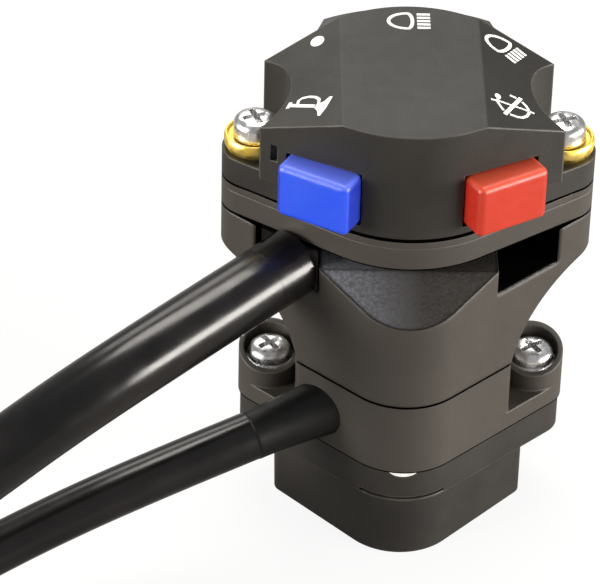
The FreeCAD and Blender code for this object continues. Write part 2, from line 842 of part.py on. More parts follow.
def make_bridge():
    body = vee_plan("BridgePlan", BRIDGE_LOW, S.bridge_height)
    half = S.saddle_width / 2
    ring = cylinder(SADDLE, S.saddle_width, -half, 0, 0, "X")
    saddle = common(ring, block(FAR, FAR, SADDLE + S.overrun, 0, 0, -SADDLE - S.overrun))
    web = block(S.saddle_width, -AXIS - S.web_front, SADDLE, 0, (AXIS - S.web_front) / 2, -SADDLE)
    rib_end = HOOK_FACE - S.hook_gap
    rib_depth = rib_end - S.bar_radius - S.rib_in
    rib = block(S.hook_width - S.rib_gap * 2, rib_depth, S.hook_drop,
                0, rib_end - rib_depth / 2, -S.hook_drop)
    necks = [
        cylinder(S.neck_radius, FAR * 2, side * S.neck_x, AXIS - FAR, -S.neck_drop, "Y")
        for _, side in SIDES
    ]
    front = -SADDLE - S.block_gap
    top_cut = block(S.block_half_width * 2, FAR, S.block_drop + S.overrun,
                    0, front - FAR / 2, -S.block_drop)
    notches = []
    for _, side in SIDES:
        pillar = cylinder(S.ear_radius - S.pillar_inset, S.notch_depth + S.overrun * 2,
                          side * S.ear_x, AXIS, -S.notch_depth - S.overrun)
        way = block(NOTCH_WIDTH, FAR, S.notch_depth + S.overrun,
                    side * NOTCH_MID, AXIS + S.notch_back - FAR / 2, -S.notch_depth)
        notches.append(cut(way, pillar))
    scoop_start = vee_wall_y(S.block_half_width)
    nose_front = NOSE_Y - S.nose_radius
    slope = (S.scoop_nose_drop - S.block_drop) / (scoop_start - nose_front)
    scoop = polygon("Scoop", "YZ_Plane", 0, [
        (scoop_start, -S.block_drop),
        (scoop_start, S.overrun),
        (nose_front - S.scoop_run, S.overrun),
        (nose_front - S.scoop_run, -S.scoop_nose_drop - slope * S.scoop_run),
    ], S.block_half_width * 2, True)
    insert_ways = ear_holes(S.insert_radius, -S.insert_length - S.insert_drop,
                            S.insert_length + S.overrun)
    tips = ear_holes(HOLE, -S.tip_room, S.tip_room)
    core = cylinder(S.core_radius, S.bridge_height - S.core_top, 0, NOSE_Y + S.core_back, BRIDGE_LOW)
    screws = [
        cylinder(S.case_screw_radius + S.running_gap, S.case_screw_hole,
                 side * S.case_screw_x, CASE_SCREW_Y, BRIDGE_LOW)
        for _, side in SIDES
    ]
    cut_body = cut(fuse(body, saddle, web, rib), *necks, top_cut, *notches, scoop,
                   *insert_ways, *tips, core, *screws, bar_hole(S.bar_radius))
    keep("clamp_bridge", cut_body)


# Screws, washers and inserts
def group(items):
    """Several separate solids in one piece."""
    item = doc.addObject("Part::Compound", "Group")
    item.Links = items
    return item


def pan_screw(x, y, seat, reach):
    """A pan-head screw with a cross recess, standing on its seat."""
    barrel = cylinder(S.head_radius, S.head_height, x, y, seat)
    dome = sphere(S.head_dome, x, y, seat + S.head_height - S.head_dome)
    shank = cylinder(S.screw_radius, reach + S.bite, x, y, seat - reach)
    arms = [
        block(width, depth, S.recess_depth + S.overrun, x, y,
              seat + S.head_height - S.recess_depth)
        for width, depth in (
            (S.recess_width, S.recess_length), (S.recess_length, S.recess_width))
    ]
    return cut(fuse(common(barrel, dome), shank), *arms)


def insert(x, y, top, length):
    sleeve = cylinder(S.insert_radius - S.press_gap, length, x, y, top - length)
    return cut(sleeve, cylinder(S.screw_radius + S.running_gap, FAR * 2, x, y, -FAR))


def make_fasteners():
    seat = EAR_TOP + S.washer_height - S.washer_rim
    reach = seat + S.insert_length - S.tip_gap
    keep("upper_screws", group([
        pan_screw(side * S.ear_x, AXIS, seat, reach) for _, side in SIDES
    ]))
    washers = []
    for _, side in SIDES:
        x = side * S.ear_x
        dish = cylinder(S.washer_radius, S.washer_height, x, AXIS, EAR_TOP)
        hollow = cylinder(S.head_radius + S.washer_gap, S.washer_height, x, AXIS, seat)
        washers.append(cut(dish, hollow, cylinder(HOLE, FAR, x, AXIS, 0)))
    keep("upper_washers", group(washers))
    keep("thread_inserts", group([
        insert(side * S.ear_x, AXIS, -S.insert_drop, S.insert_length) for _, side in SIDES
    ]))
    ears = [(side * S.lower_ear_x, LOWER_EAR_Y) for _, side in SIDES]
    keep("lower_screws", group([
        pan_screw(x, y, CASE_LOW + S.seat_height, S.lower_reach) for x, y in ears
    ]))
    keep("lower_inserts", group([
        insert(x, y, CASE_LOW - S.lower_insert_drop, S.lower_insert_length) for x, y in ears
    ]))
    case_screws = []
    for _, side in SIDES:
        x = side * S.case_screw_x
        head = cylinder(S.case_head_radius, S.case_head_height, x, CASE_SCREW_Y,
                        CASE_ROOF - S.case_head_height)
        shank = cylinder(S.case_screw_radius, S.case_screw_length, x, CASE_SCREW_Y,
                         CASE_ROOF - S.bite)
        case_screws.append(fuse(head, shank))
    keep("case_screws", group(case_screws))


# Indicator case and lower cover
def case_plan(name, inset, z, height):
    """The indicator case's plan, the same front as the bridge, drawn in by an inset."""
    half = S.bridge_half_width - inset
    corner = S.case_corner
    x = half - corner
    front = AXIS - (VEE_REACH - inset - corner - x * sin(S.vee)) / cos(S.vee)
    rear = AXIS + S.case_rear - inset - corner
    nose = (0, NOSE_Y, S.nose_radius - inset)
    spots = [nose, (x, front, corner), (x, rear, corner), (-x, rear, corner), (-x, front, corner)]
    return hull(name, spots, z, height)


def ear_plan(name, inset, z, height):
    """The screw flange's plan: nose, ears and the case's rear corners."""
    corner = S.case_corner
    x = S.bridge_half_width - corner
    rear = AXIS + S.case_rear - corner
    radius = S.lower_ear_radius - inset
    ears = [(side * S.lower_ear_x, LOWER_EAR_Y, radius) for _, side in SIDES]
    nose = (0, NOSE_Y, S.nose_radius - inset)
    return hull(name, [nose, ears[1], (x, rear, corner), (-x, rear, corner), ears[0]], z, height)


def spoke(radius, length, x, y, z, bearing):
    """A level cylinder from a point along a bearing, 0 towards the rider, 90 to the right."""
    turn = FreeCAD.Rotation(Vector(0, 0, 1), bearing) * FreeCAD.Rotation(Vector(1, 0, 0), 90)
    item = doc.addObject("Part::Cylinder", "Spoke")
    bind(item, "Radius", radius)
    bind(item, "Height", length)
    return place(item, x, y, z, turn)


def make_indicator_case():
    shell = case_plan("CasePlan", 0, CASE_LOW, S.case_height)
    flange = ear_plan("CaseEars", 0, CASE_LOW, S.lower_flange)
    collars = [
        cylinder(S.lower_ear_radius, S.case_height, side * S.lower_ear_x, LOWER_EAR_Y, CASE_LOW)
        for _, side in SIDES
    ]
    front = LOWER_EAR_Y - S.lower_ear_radius
    back = front + S.collar_run
    rise = tan(S.collar_slope) * S.collar_run
    slope = polygon("CollarSlope", "YZ_Plane", 0, [
        (front, -S.collar_front),
        (back, rise - S.collar_front),
        (back, 0),
        (front - S.collar_run, 0),
        (front - S.collar_run, -S.collar_front - rise),
    ], FAR * 2, True)
    seats = [
        cylinder(S.seat_radius, S.case_height, side * S.lower_ear_x, LOWER_EAR_Y,
                 CASE_LOW + S.seat_height)
        for _, side in SIDES
    ]
    outer = fuse(shell, flange, cut(fuse(*collars), slope))
    room = case_plan("CaseRoom", S.case_wall, CASE_LOW, S.case_height - S.case_wall)
    boss_low = PIVOT_TOP - S.pivot_boss_drop
    pivot_boss = cylinder(S.pivot_boss_radius, CASE_ROOF - boss_low, 0, PIVOT_Y, boss_low)
    stop_low = -S.lever_low - S.bite
    stop = block(S.stop_width, S.stop_depth, CASE_ROOF - stop_low,
                 0, PIVOT_Y - S.hub_radius - S.stop_front, stop_low)
    slot_half = S.case_rear * tan(S.lever_travel) + S.lever_width / 2 + S.slot_side
    slot = block(slot_half * 2, S.slot_depth, S.lever_thickness + S.slot_gap * 2,
                 0, AXIS + S.case_rear, -S.lever_low - S.slot_gap)
    gland = along_run_cylinder(INDICATOR_ROUTE, S.gland_back, S.gland_radius)
    pin_pocket = cylinder(S.pin_pocket_radius, S.pin_pocket_height, 0, PIN_Y, CASE_LOW)
    screw_ways = [
        cylinder(S.case_screw_radius + S.screw_gap, FAR, side * S.case_screw_x,
                 CASE_SCREW_Y, CASE_LOW)
        for _, side in SIDES
    ]
    ear_ways = [
        cylinder(HOLE, FAR, side * S.lower_ear_x, LOWER_EAR_Y, CASE_LOW) for _, side in SIDES
    ]
    pivot_way = cylinder(S.pivot_radius + S.press_gap, S.pin_seat, 0, PIVOT_Y,
                         PIVOT_TOP - S.pin_seat)
    keep("indicator_case", cut(
        fuse(cut(outer, room), pivot_boss, stop), *seats, *ear_ways, slot, gland, pin_pocket,
        *screw_ways, pivot_way,
    ))


def block_plan(name, inset, z, height):
    """The plan of the block under the screw flange."""
    corner = S.cover_corner_radius - inset
    x = S.cover_corner_x
    front = AXIS - S.cover_corner_y
    rear = AXIS + S.case_rear - S.block_rear
    nose = (0, AXIS - S.cover_nose_y, S.cover_nose_radius - inset)
    spots = [nose, (x, front, corner), (x, rear, corner), (-x, rear, corner), (-x, front, corner)]
    return hull(name, spots, z, height)


def make_lower_cover():
    flange = ear_plan("CoverEars", S.flange_inset, COVER_FLANGE_LOW, S.cover_flange)
    foot = block_plan("CoverBlock", 0, FLOOR, S.cover_height - S.cover_flange)
    room = block_plan("LowerRoom", S.case_wall, FLOOR + S.case_wall, S.cover_height)
    boss = cylinder(S.cover_boss_radius, LOWER_BOARD - FLOOR, 0, PIVOT_Y, FLOOR)
    groove_low = COVER_FLANGE_LOW + S.groove_rise
    nose_front = NOSE_Y - S.nose_radius
    groove = common(
        cut(
            ear_plan("GrooveOut", -S.overrun, groove_low, S.groove_height),
            ear_plan("GrooveIn", S.groove_inset, groove_low, S.groove_height),
        ),
        block(S.groove_width, S.groove_width, S.groove_height, 0, nose_front, groove_low),
    )
    # A shallow segment in the top edge, through which the locating pin shows
    view = cylinder(S.view_radius, S.view_reach, 0, nose_front - S.bite,
                    CASE_LOW + S.view_radius - S.view_depth, "Y")
    insert_room = S.lower_insert_length + S.lower_insert_drop
    insert_ways = [
        cylinder(S.insert_radius, insert_room, side * S.lower_ear_x, LOWER_EAR_Y,
                 CASE_LOW - insert_room)
        for _, side in SIDES
    ]
    pin_seat = cylinder(S.pin_radius + S.press_gap, S.pin_seat, 0, PIN_Y, PIN_LOW)
    pivot_way = cylinder(S.pivot_radius + S.press_gap, FAR, 0, PIVOT_Y, PIVOT_LOW)
    keep("lower_cover", cut(
        fuse(cut(fuse(flange, foot), room), boss), groove, view, *insert_ways, pin_seat, pivot_way,
    ))


def make_indicator_parts():
    """What works inside the lower module."""
    keep("lever_pivot", cylinder(S.pivot_radius, PIVOT_TOP - PIVOT_LOW, 0, PIVOT_Y, PIVOT_LOW))
    keep("locating_pin", cylinder(S.pin_radius, S.pin_length, 0, PIN_Y, PIN_LOW))
    hub = cylinder(S.hub_radius, S.hub_low - S.hub_top, 0, PIVOT_Y, -S.hub_low)
    arm_length = S.lever_reach - S.pivot_y - S.arm_bite
    arm = block(S.lever_width, arm_length, S.lever_thickness,
                0, PIVOT_Y + arm_length / 2, -S.lever_low)
    knob = slab("Knob", S.knob_width, S.knob_depth, S.lever_thickness + S.knob_extra * 2,
                S.knob_round, 0, AXIS + S.lever_reach - S.knob_depth / 2,
                -S.lever_low - S.knob_extra)
    bore = cylinder(S.pivot_radius + S.running_gap, FAR, 0, PIVOT_Y, -FAR)
    pocket = spoke(S.ball_radius + S.running_gap, S.pocket_length, 0, POCKET_END, LEVER_MID, 0)
    keep("indicator_lever", cut(fuse(hub, arm, knob), bore, pocket))
    keep("indicator_detent_ball", sphere(S.ball_radius, 0, DETENT_Y, LEVER_MID))
    board = block(S.lower_board_width, S.lower_board_depth, S.board_thickness,
                  0, PIVOT_Y - S.lower_board_front, LOWER_BOARD)
    board_bore = cylinder(S.pivot_radius + S.screw_gap, FAR * 2, 0, PIVOT_Y, -FAR)
    keep("indicator_board", cut(board, board_bore))
    wiper("indicator_wiper", PIVOT_Y - S.lower_wiper_front, -S.hub_low - S.wiper_thickness,
          LOWER_BOARD + S.board_thickness + S.running_gap)


# Springs
def biarc_edges(points, tangents):
    """Two tangent arcs between each pair of points, as edges."""
    edges = []
    for here in range(len(points) - 1):
        p0, p1 = points[here], points[here + 1]
        t0, t1 = tangents[here], tangents[here + 1]
        gap = p1 - p0
        both = t0 + t1
        bend = 2 * (1 - t0.dot(t1))
        pull = gap.dot(both)
        reach = (-pull + math.sqrt(pull * pull + bend * gap.dot(gap))) / bend
        middle = (p0 + t0 * reach + p1 - t1 * reach) * 0.5
        for start, end, tangent in ((p0, middle, t0), (middle, p1, (p1 - middle) * 1)):
            chord = end - start
            along = chord * (1 / chord.Length)
            if start == p0:
                side = tangent - along * tangent.dot(along)
                half_turn = math.acos(max(-1, min(1, tangent.dot(along))))
            else:
                side = -(t1 - along * t1.dot(along))
                half_turn = math.acos(max(-1, min(1, t1.dot(along))))
            side = side * (1 / side.Length)
            crown = start + chord * 0.5 + side * (chord.Length / 2 * math.tan(half_turn / 2))
            edges.append(Part.Arc(start, crown, end).toShape())
    return edges


def pipe(edges, radius, start, direction):
    """A round tube along edges."""
    circle = Part.Circle(start, direction, radius)
    ring = Part.Wire([Part.Edge(circle)])
    return Part.Wire(edges).makePipeShell([ring], True, False)


def wound_spring(name, radius, wire, turns, length, base, axis):
    """A coil spring of round wire that starts at a base point and runs along an axis."""
    steps = turns * 2
    points, tangents = [], []
    turn = FreeCAD.Rotation(Vector(0, 0, 1), axis)
    rise = (length - wire) / steps
    for step in range(steps + 1):
        angle = math.pi * step
        spot = Vector(radius * math.cos(angle), radius * math.sin(angle), wire / 2 + rise * step)
        lean = Vector(-math.pi * radius * math.sin(angle), math.pi * radius * math.cos(angle), rise)
        points.append(base + turn.multVec(spot))
        tangents.append(turn.multVec(lean * (1 / lean.Length)))
    item = doc.addObject("Part::Feature", name)
    item.Shape = pipe(biarc_edges(points, tangents), wire / 2, points[0], tangents[0])
    keep(name, item)


def make_springs():
    for name, (_, side) in zip(("horn_spring", "kill_spring"), SIDES):
        start = S.post_out + S.post_depth + S.spring_gap
        x, y = button_spot(side, start, S.button_offset)
        lean = math.radians(S.button_angle.value)
        outward = Vector(side * math.sin(lean), -math.cos(lean), 0)
        wound_spring(name, S.button_spring_radius.value, S.button_spring_wire.value, 4,
                     (LIP_IN - start - S.spring_gap).value,
                     Vector(x.value, y.value, BUTTON_MID.value), outward)
    radius, wire = S.detent_spring_radius.value, S.detent_spring_wire.value
    ball_top = S.board_level + S.board_thickness + S.running_gap + S.ball_radius * 2
    pocket_top = S.selector_low + S.ball_pocket
    base = Vector(0, (AXIS + S.ball_reach).value, ball_top.value)
    wound_spring("selector_detent_spring", radius, wire, 3, (pocket_top - ball_top).value,
                 base, Vector(0, 0, 1))
    ball_back = DETENT_Y + S.ball_radius
    base = Vector(0, ball_back.value, LEVER_MID.value)
    wound_spring("indicator_detent_spring", radius, wire, 4, (POCKET_END - ball_back).value,
                 base, Vector(0, 1, 0))


# Cables
# The routes' points, chosen by hand from the exits to where each coil starts. Both cables
# are wound up together: the thin one lies on the floor and the thick one on top of it.
MAIN_ROUTE = (
    (-20.25, -30.36, -4.2),
    (-34.5, -43.5, -6),
    (-48.5, -52, -11.5),
    (-62, -57.6, -20),
    (-75.5, -62.6, -27.4),
    (-90.5, -65.5, -33),
    (-106, -66.6, -35.3),
    (-117, -66.6, -35.3),
)
INDICATOR_ROUTE = (
    (-21.5, -34.5, -28.2),
    (-37, -41.2, -31.2),
    (-52, -47, -35.6),
    (-66, -53.2, -40.4),
    (-80, -59.8, -43.4),
    (-93, -64.6, -43.85),
    (-106.5, -66.6, -43.85),
    (-119.6, -66.6, -43.85),
)
MAIN_CABLE_RADIUS = 4.8
INDICATOR_CABLE_RADIUS = 3.5
# Coil of both: first radius, how fast it draws in, turning sense, bearing of its start
COIL = (57, 0.35, -1, -90)
COIL_QUARTERS = 5
# Connectors: length and width
MAIN_CONNECTOR = (20, 12)
INDICATOR_CONNECTOR = (14, 8)


def route_edges(name, points):
    """Straight runs joined by tangent arcs, as large as the runs allow."""
    spots = [Vector(*point) for point in points]
    edges = []
    radii = []
    start = spots[0]
    for here in range(1, len(spots) - 1):
        before = spots[here] - spots[here - 1]
        after = spots[here + 1] - spots[here]
        half_turn = before.getAngle(after) / 2
        reach = 0.45 * min(before.Length, after.Length)
        radii.append(reach / math.tan(half_turn))
        first = spots[here] - before * (reach / before.Length)
        last = spots[here] + after * (reach / after.Length)
        inward = (first + last) * 0.5 - spots[here]
        span = radii[-1] / math.cos(half_turn)
        crown = spots[here] + inward * ((span - radii[-1]) / inward.Length)
        edges.append(Part.LineSegment(start, first).toShape())
        edges.append(Part.Arc(first, crown, last).toShape())
        start = last
    edges.append(Part.LineSegment(start, spots[-1]).toShape())
    print(name, "radii", [round(radius, 1) for radius in radii])
    return edges


def make_cable(name, points, radius):
    """The free stretch of a cable, from its exit to where its coil starts."""
    edges = route_edges(name, points)
    direction = Vector(*points[1]) - Vector(*points[0])
    item = doc.addObject("Part::Feature", name)
    item.Shape = pipe(edges, radius, Vector(*points[0]), direction)
    length = sum(edge.Length for edge in edges)
    section = math.pi * radius * radius
    print(name, "length", round(length, 1), "volume over section x length",
          round(item.Shape.Volume / (section * length), 4))
    keep(name, item)


def make_coil(name, route, radius):
    """Level loops that draw inwards, straight for one diameter at both ends."""
    first_radius, draw, sense, bearing = COIL
    start = Vector(*route[-1])
    heading = math.radians(bearing)
    ahead = Vector(-sense * math.sin(heading), sense * math.cos(heading), 0)
    begin = start + ahead * (radius * 2)
    outward = Vector(math.cos(heading), math.sin(heading), 0)
    centre = begin - outward * first_radius
    points, tangents = [], []
    for quarter in range(COIL_QUARTERS + 1):
        turned = quarter * math.pi / 2
        reach = first_radius - draw * turned * turned
        angle = heading + sense * turned
        out = Vector(math.cos(angle), math.sin(angle), 0)
        along = Vector(-math.sin(angle), math.cos(angle), 0) * sense
        tangent = along * reach - out * (2 * draw * turned)
        points.append(centre + out * reach)
        tangents.append(tangent * (1 / tangent.Length))
    finish = points[-1] + tangents[-1] * (radius * 2)
    edges = [Part.LineSegment(start, begin).toShape()]
    edges += biarc_edges(points, tangents)
    edges.append(Part.LineSegment(points[-1], finish).toShape())
    item = doc.addObject("Part::Feature", name)
    item.Shape = pipe(edges, radius, start, ahead)
    keep(name, item)
    length = sum(edge.Length for edge in edges)
    line = Part.Wire(edges).discretize(Number=400)
    step = length / 399
    apart = int(radius * math.pi / step)
    gap = min(
        line[i].distanceToPoint(line[j]) for i in range(400) for j in range(i + apart, 400)
    )
    print(name, "length", round(length, 1), "least gap", round(gap - radius * 2, 2))
    return finish, tangents[-1]


def make_connector(name, end, heading, radius, shape):
    """The housing on a cable's end, as high as the cable."""
    length, width = shape
    middle = end + heading * (length / 2)
    turn = math.degrees(math.atan2(heading.y, heading.x))
    keep(name, block(length, width, radius * 2, size(middle.x), size(middle.y),
                     size(end.z - radius), turn))


def along_run(kind, route, length):
    """A cylinder or cone on the first run's line, which ends where the cable starts."""
    start, following = Vector(*route[0]), Vector(*route[1])
    heading = following - start
    heading.normalize()
    spot = start - heading * length.value
    item = doc.addObject(kind, "Along")
    bind(item, "Height", length)
    place(item, size(spot.x), size(spot.y), size(spot.z), FreeCAD.Rotation(Vector(0, 0, 1), heading))
    return item


def along_run_cylinder(route, length, radius):
    item = along_run("Part::Cylinder", route, length)
    bind(item, "Radius", radius)
    return item


def make_grommet():
    """The rubber block in the bridge's left notch, with a collar round the cable."""
    fit = S.grommet_gap
    low = fit - S.notch_depth
    height = S.notch_depth - fit * 2
    wall = vee_wall_y(NOTCH_MID)
    slab_in = block(NOTCH_WIDTH - fit * 2, S.grommet_depth * 2, height, -NOTCH_MID, wall, low)
    seat = common(slab_in, vee_plan("GrommetPlan", low, height))
    pillar = cylinder(S.ear_radius, height * 2, -S.ear_x, AXIS, low - S.overrun)
    collar = along_run_cylinder(MAIN_ROUTE, S.collar_length, S.collar_radius)
    body = vee_plan("GrommetBehind", BRIDGE_LOW, FAR)
    keep("main_grommet", fuse(cut(seat, pillar), cut(collar, body)))


def make_boot():
    """The tapered rubber boot where the indicator cable leaves the case."""
    cone = along_run("Part::Cone", INDICATOR_ROUTE, S.boot_length)
    bind(cone, "Radius1", S.boot_base)
    bind(cone, "Radius2", S.boot_tip)
    plug = common(
        along_run_cylinder(INDICATOR_ROUTE, S.boot_plug_length, S.boot_plug_radius),
        vee_plan("BootPlug", FLOOR, FAR),
    )
    keep("indicator_boot", fuse(cut(cone, vee_plan("BootBehind", FLOOR, FAR)), plug))


def make_cables():
    cables = (
        ("main", MAIN_ROUTE, MAIN_CABLE_RADIUS, MAIN_CONNECTOR),
        ("indicator", INDICATOR_ROUTE, INDICATOR_CABLE_RADIUS, INDICATOR_CONNECTOR),
    )
    for name, route, radius, connector in cables:
        make_cable(f"{name}_cable", route, radius)
        end, heading = make_coil(f"{name}_cable_coil", route, radius)
        make_connector(f"{name}_connector", end, heading, radius, connector)


def check_and_write():
    """Stops on a bad object, then writes one STEP file for each piece."""
    doc.recompute()
    for item in doc.Objects:
        if "Invalid" in item.State or "Error" in item.State:
            raise RuntimeError(f"{item.Label} did not compute: {item.State}")
        shape = getattr(item, "Shape", None)
        if shape is not None and not item.isDerivedFrom("App::Origin"):
            if shape.isNull() or not shape.isValid():
                raise RuntimeError(f"{item.Label} has no valid shape")
    os.makedirs("parts", exist_ok=True)
    for name, item in NODES.items():
        item.Shape.exportStep(f"parts/{name}.step")
    print(len(NODES), "pieces written")


make_top_cover()
make_button_case()
make_base_plate()
make_button("horn_button", -1)
make_button("kill_button", 1)
make_leaf("horn_contact", -1)
make_leaf("kill_contact", 1)
make_selector()
make_switch_board()
make_bridge()
make_fasteners()
make_indicator_case()
make_lower_cover()
make_indicator_parts()
make_springs()
make_grommet()
make_boot()
make_cables()
check_and_write()
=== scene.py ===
import bmesh
import bpy
import json
import math
from mathutils import Matrix, Vector


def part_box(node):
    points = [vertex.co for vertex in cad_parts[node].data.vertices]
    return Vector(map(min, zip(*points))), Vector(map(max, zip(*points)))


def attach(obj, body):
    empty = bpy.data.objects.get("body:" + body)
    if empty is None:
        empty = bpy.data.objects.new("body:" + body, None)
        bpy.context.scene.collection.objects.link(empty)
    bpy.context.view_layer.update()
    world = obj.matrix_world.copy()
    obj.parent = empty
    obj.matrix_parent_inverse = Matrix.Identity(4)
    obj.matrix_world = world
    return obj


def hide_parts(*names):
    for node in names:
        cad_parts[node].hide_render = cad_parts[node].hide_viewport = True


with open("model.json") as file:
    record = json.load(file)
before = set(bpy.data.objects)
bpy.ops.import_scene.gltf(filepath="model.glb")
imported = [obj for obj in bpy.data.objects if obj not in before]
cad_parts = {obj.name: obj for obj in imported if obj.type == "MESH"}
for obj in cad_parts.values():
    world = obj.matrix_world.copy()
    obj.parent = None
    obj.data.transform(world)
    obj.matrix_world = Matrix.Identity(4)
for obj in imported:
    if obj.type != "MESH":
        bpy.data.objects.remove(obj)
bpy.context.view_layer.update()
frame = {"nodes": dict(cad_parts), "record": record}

# Handlebar switch. The CAD nodes carry the housings; this script adds the camera, the
# light, the materials, the printed symbols, the fasteners' heads and the cables.
MM = 0.001
BODY = "switch"


def mm(*values):
    """A point given in millimetres."""
    return Vector(values) * MM


# Camera, at the picture's viewing angle
TARGET = mm(-14.69, -16.3, -16.39)
DISTANCE = 548.42 * MM
ELEVATION = math.radians(36.68)
YAW = math.radians(-1.25)
ROLL = math.radians(1.41)
LENS = 229.63
SENSOR = 36.0


def make_camera():
    back = Vector((
        math.sin(YAW) * math.cos(ELEVATION),
        -math.cos(YAW) * math.cos(ELEVATION),
        math.sin(ELEVATION),
    ))
    level = Vector((0, 0, 1)).cross(back).normalized()
    above = back.cross(level)
    right = level * math.cos(ROLL) + above * math.sin(ROLL)
    up = above * math.cos(ROLL) - level * math.sin(ROLL)
    data = bpy.data.cameras.new("camera")
    data.lens = LENS
    data.sensor_width = SENSOR
    data.sensor_fit = "HORIZONTAL"
    data.clip_start = 0.01
    data.clip_end = 20
    camera = bpy.data.objects.new("camera", data)
    bpy.context.collection.objects.link(camera)
    turn = Matrix((right, up, back)).transposed().to_4x4()
    camera.matrix_world = Matrix.Translation(TARGET + back * DISTANCE) @ turn
    bpy.context.scene.camera = camera


# Cables: the routes' points from the exits to where each coil starts, in millimetres
MAIN_ROUTE = (
    (-20.25, -30.36, -4.2),
    (-34.5, -43.5, -6),
    (-48.5, -52, -11.5),
    (-62, -57.6, -20),
    (-75.5, -62.6, -27.4),
    (-90.5, -65.5, -33),
    (-106, -66.6, -35.3),
    (-117, -66.6, -35.3),
)
INDICATOR_ROUTE = (
    (-21.5, -34.5, -28.2),
    (-37, -41.2, -31.2),
    (-52, -47, -35.6),
    (-66, -53.2, -40.4),
    (-80, -59.8, -43.4),
    (-93, -64.6, -43.85),
    (-106.5, -66.6, -43.85),
    (-119.6, -66.6, -43.85),
)
MAIN_CABLE_RADIUS = 4.8
INDICATOR_CABLE_RADIUS = 3.5
# Coil of both: first radius, how fast it draws in, turning sense, bearing of its start
COIL = (57, 0.35, -1, -90)
COIL_QUARTERS = 5
POINTS_PER_TURN = 16
CABLE_SMOOTHNESS = 10
# Connectors: length and width
MAIN_CONNECTOR = (20, 12)
INDICATOR_CONNECTOR = (14, 8)


def coil_points(route, radius):
    """Control points round the loops, and the coil's last point and direction."""
    first_radius, draw, sense, bearing = COIL
    heading = math.radians(bearing)
    ahead = Vector((-sense * math.sin(heading), sense * math.cos(heading), 0))
    begin = Vector(route[-1]) + ahead * (radius * 2)
    centre = begin - Vector((math.cos(heading), math.sin(heading), 0)) * first_radius
    step = math.tau / POINTS_PER_TURN
    count = COIL_QUARTERS * POINTS_PER_TURN // 4

    def spot(gone, spread=1):
        reach = (first_radius - draw * gone * gone) * spread
        angle = heading + sense * gone
        return centre + Vector((math.cos(angle), math.sin(angle), 0)) * reach

    outside = 1 / math.cos(step / 2)
    points = [spot((index + 0.5) * step, outside) for index in range(count)]
    last = count * step
    angle = heading + sense * last
    out = Vector((math.cos(angle), math.sin(angle), 0))
    along = Vector((-math.sin(angle), math.cos(angle), 0)) * sense
    reach = first_radius - draw * last * last
    tangent = (along * reach - out * (2 * draw * last)).normalized()
    finish = spot(last) + tangent * (radius * 2)
    return points + [finish], finish, tangent


def make_cable(name, route, radius, nodes):
    """One smooth curve along the free stretch and round the coil."""
    loops, finish, tangent = coil_points(route, radius)
    data = bpy.data.curves.new(name, "CURVE")
    data.dimensions = "3D"
    data.bevel_depth = radius * MM
    data.bevel_resolution = CABLE_SMOOTHNESS
    data.resolution_u = CABLE_SMOOTHNESS
    data.use_fill_caps = True
    spline = data.splines.new("NURBS")
    points = [Vector(point) for point in route] + loops
    spline.points.add(len(points) - 1)
    for point, place in zip(spline.points, points):
        point.co = (*(place * MM), 1)
    spline.order_u = 3
    spline.use_endpoint_u = True
    data.materials.append(MATERIALS["cable"])
    cable = bpy.data.objects.new(name, data)
    bpy.context.collection.objects.link(cable)
    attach(cable, BODY)
    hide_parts(*nodes)
    return cable, finish * MM, tangent


# Materials
def new_material(name):
    material = bpy.data.materials.new(name)
    material.use_nodes = True
    tree = material.node_tree
    return material, tree, tree.nodes["Principled BSDF"]


def node(tree, kind, **settings):
    item = tree.nodes.new(kind)
    for key, value in settings.items():
        setattr(item, key, value)
    return item


def noise(tree, scale, detail=3.0, rough=0.5):
    """Noise in object space; the scale is in features per metre."""
    place = node(tree, "ShaderNodeTexCoord")
    item = node(tree, "ShaderNodeTexNoise")
    item.inputs["Scale"].default_value = scale
    item.inputs["Detail"].default_value = detail
    item.inputs["Roughness"].default_value = rough
    tree.links.new(place.outputs["Object"], item.inputs["Vector"])
    return item.outputs["Fac"]


def ramp(tree, source, low, high, start=0.35, end=0.65):
    """Turns a factor into a value between low and high."""
    item = node(tree, "ShaderNodeMapRange")
    item.inputs["From Min"].default_value = start
    item.inputs["From Max"].default_value = end
    item.inputs["To Min"].default_value = low
    item.inputs["To Max"].default_value = high
    tree.links.new(source, item.inputs["Value"])
    return item.outputs["Result"]


def blend_colour(tree, factor, first, second):
    """Mixes two colours, each a tuple or a socket."""
    item = node(tree, "ShaderNodeMix", data_type="RGBA")
    tree.links.new(factor, item.inputs["Factor"])
    for index, colour in ((6, first), (7, second)):
        if isinstance(colour, tuple):
            item.inputs[index].default_value = (*colour, 1)
        else:
            tree.links.new(colour, item.inputs[index])
    return item.outputs[2]


def bumped(tree, source, strength, distance, normal=None):
    """The normal with a height added to it."""
    item = node(tree, "ShaderNodeBump")
    item.inputs["Strength"].default_value = strength
    item.inputs["Distance"].default_value = distance
    tree.links.new(source, item.inputs["Height"])
    if normal is not None:
        tree.links.new(normal, item.inputs["Normal"])
    return item.outputs["Normal"]


def soft_edges(tree, radius):
    """The normal with edges rounded, and a mask that is 1 on them."""
    bevel = node(tree, "ShaderNodeBevel", samples=6)
    bevel.inputs["Radius"].default_value = radius
    surface = node(tree, "ShaderNodeNewGeometry")
    dot = node(tree, "ShaderNodeVectorMath", operation="DOT_PRODUCT")
    tree.links.new(bevel.outputs["Normal"], dot.inputs[0])
    tree.links.new(surface.outputs["Normal"], dot.inputs[1])
    mask = ramp(tree, dot.outputs["Value"], 1.0, 0.0, 0.9, 0.995)
    return bevel.outputs["Normal"], mask


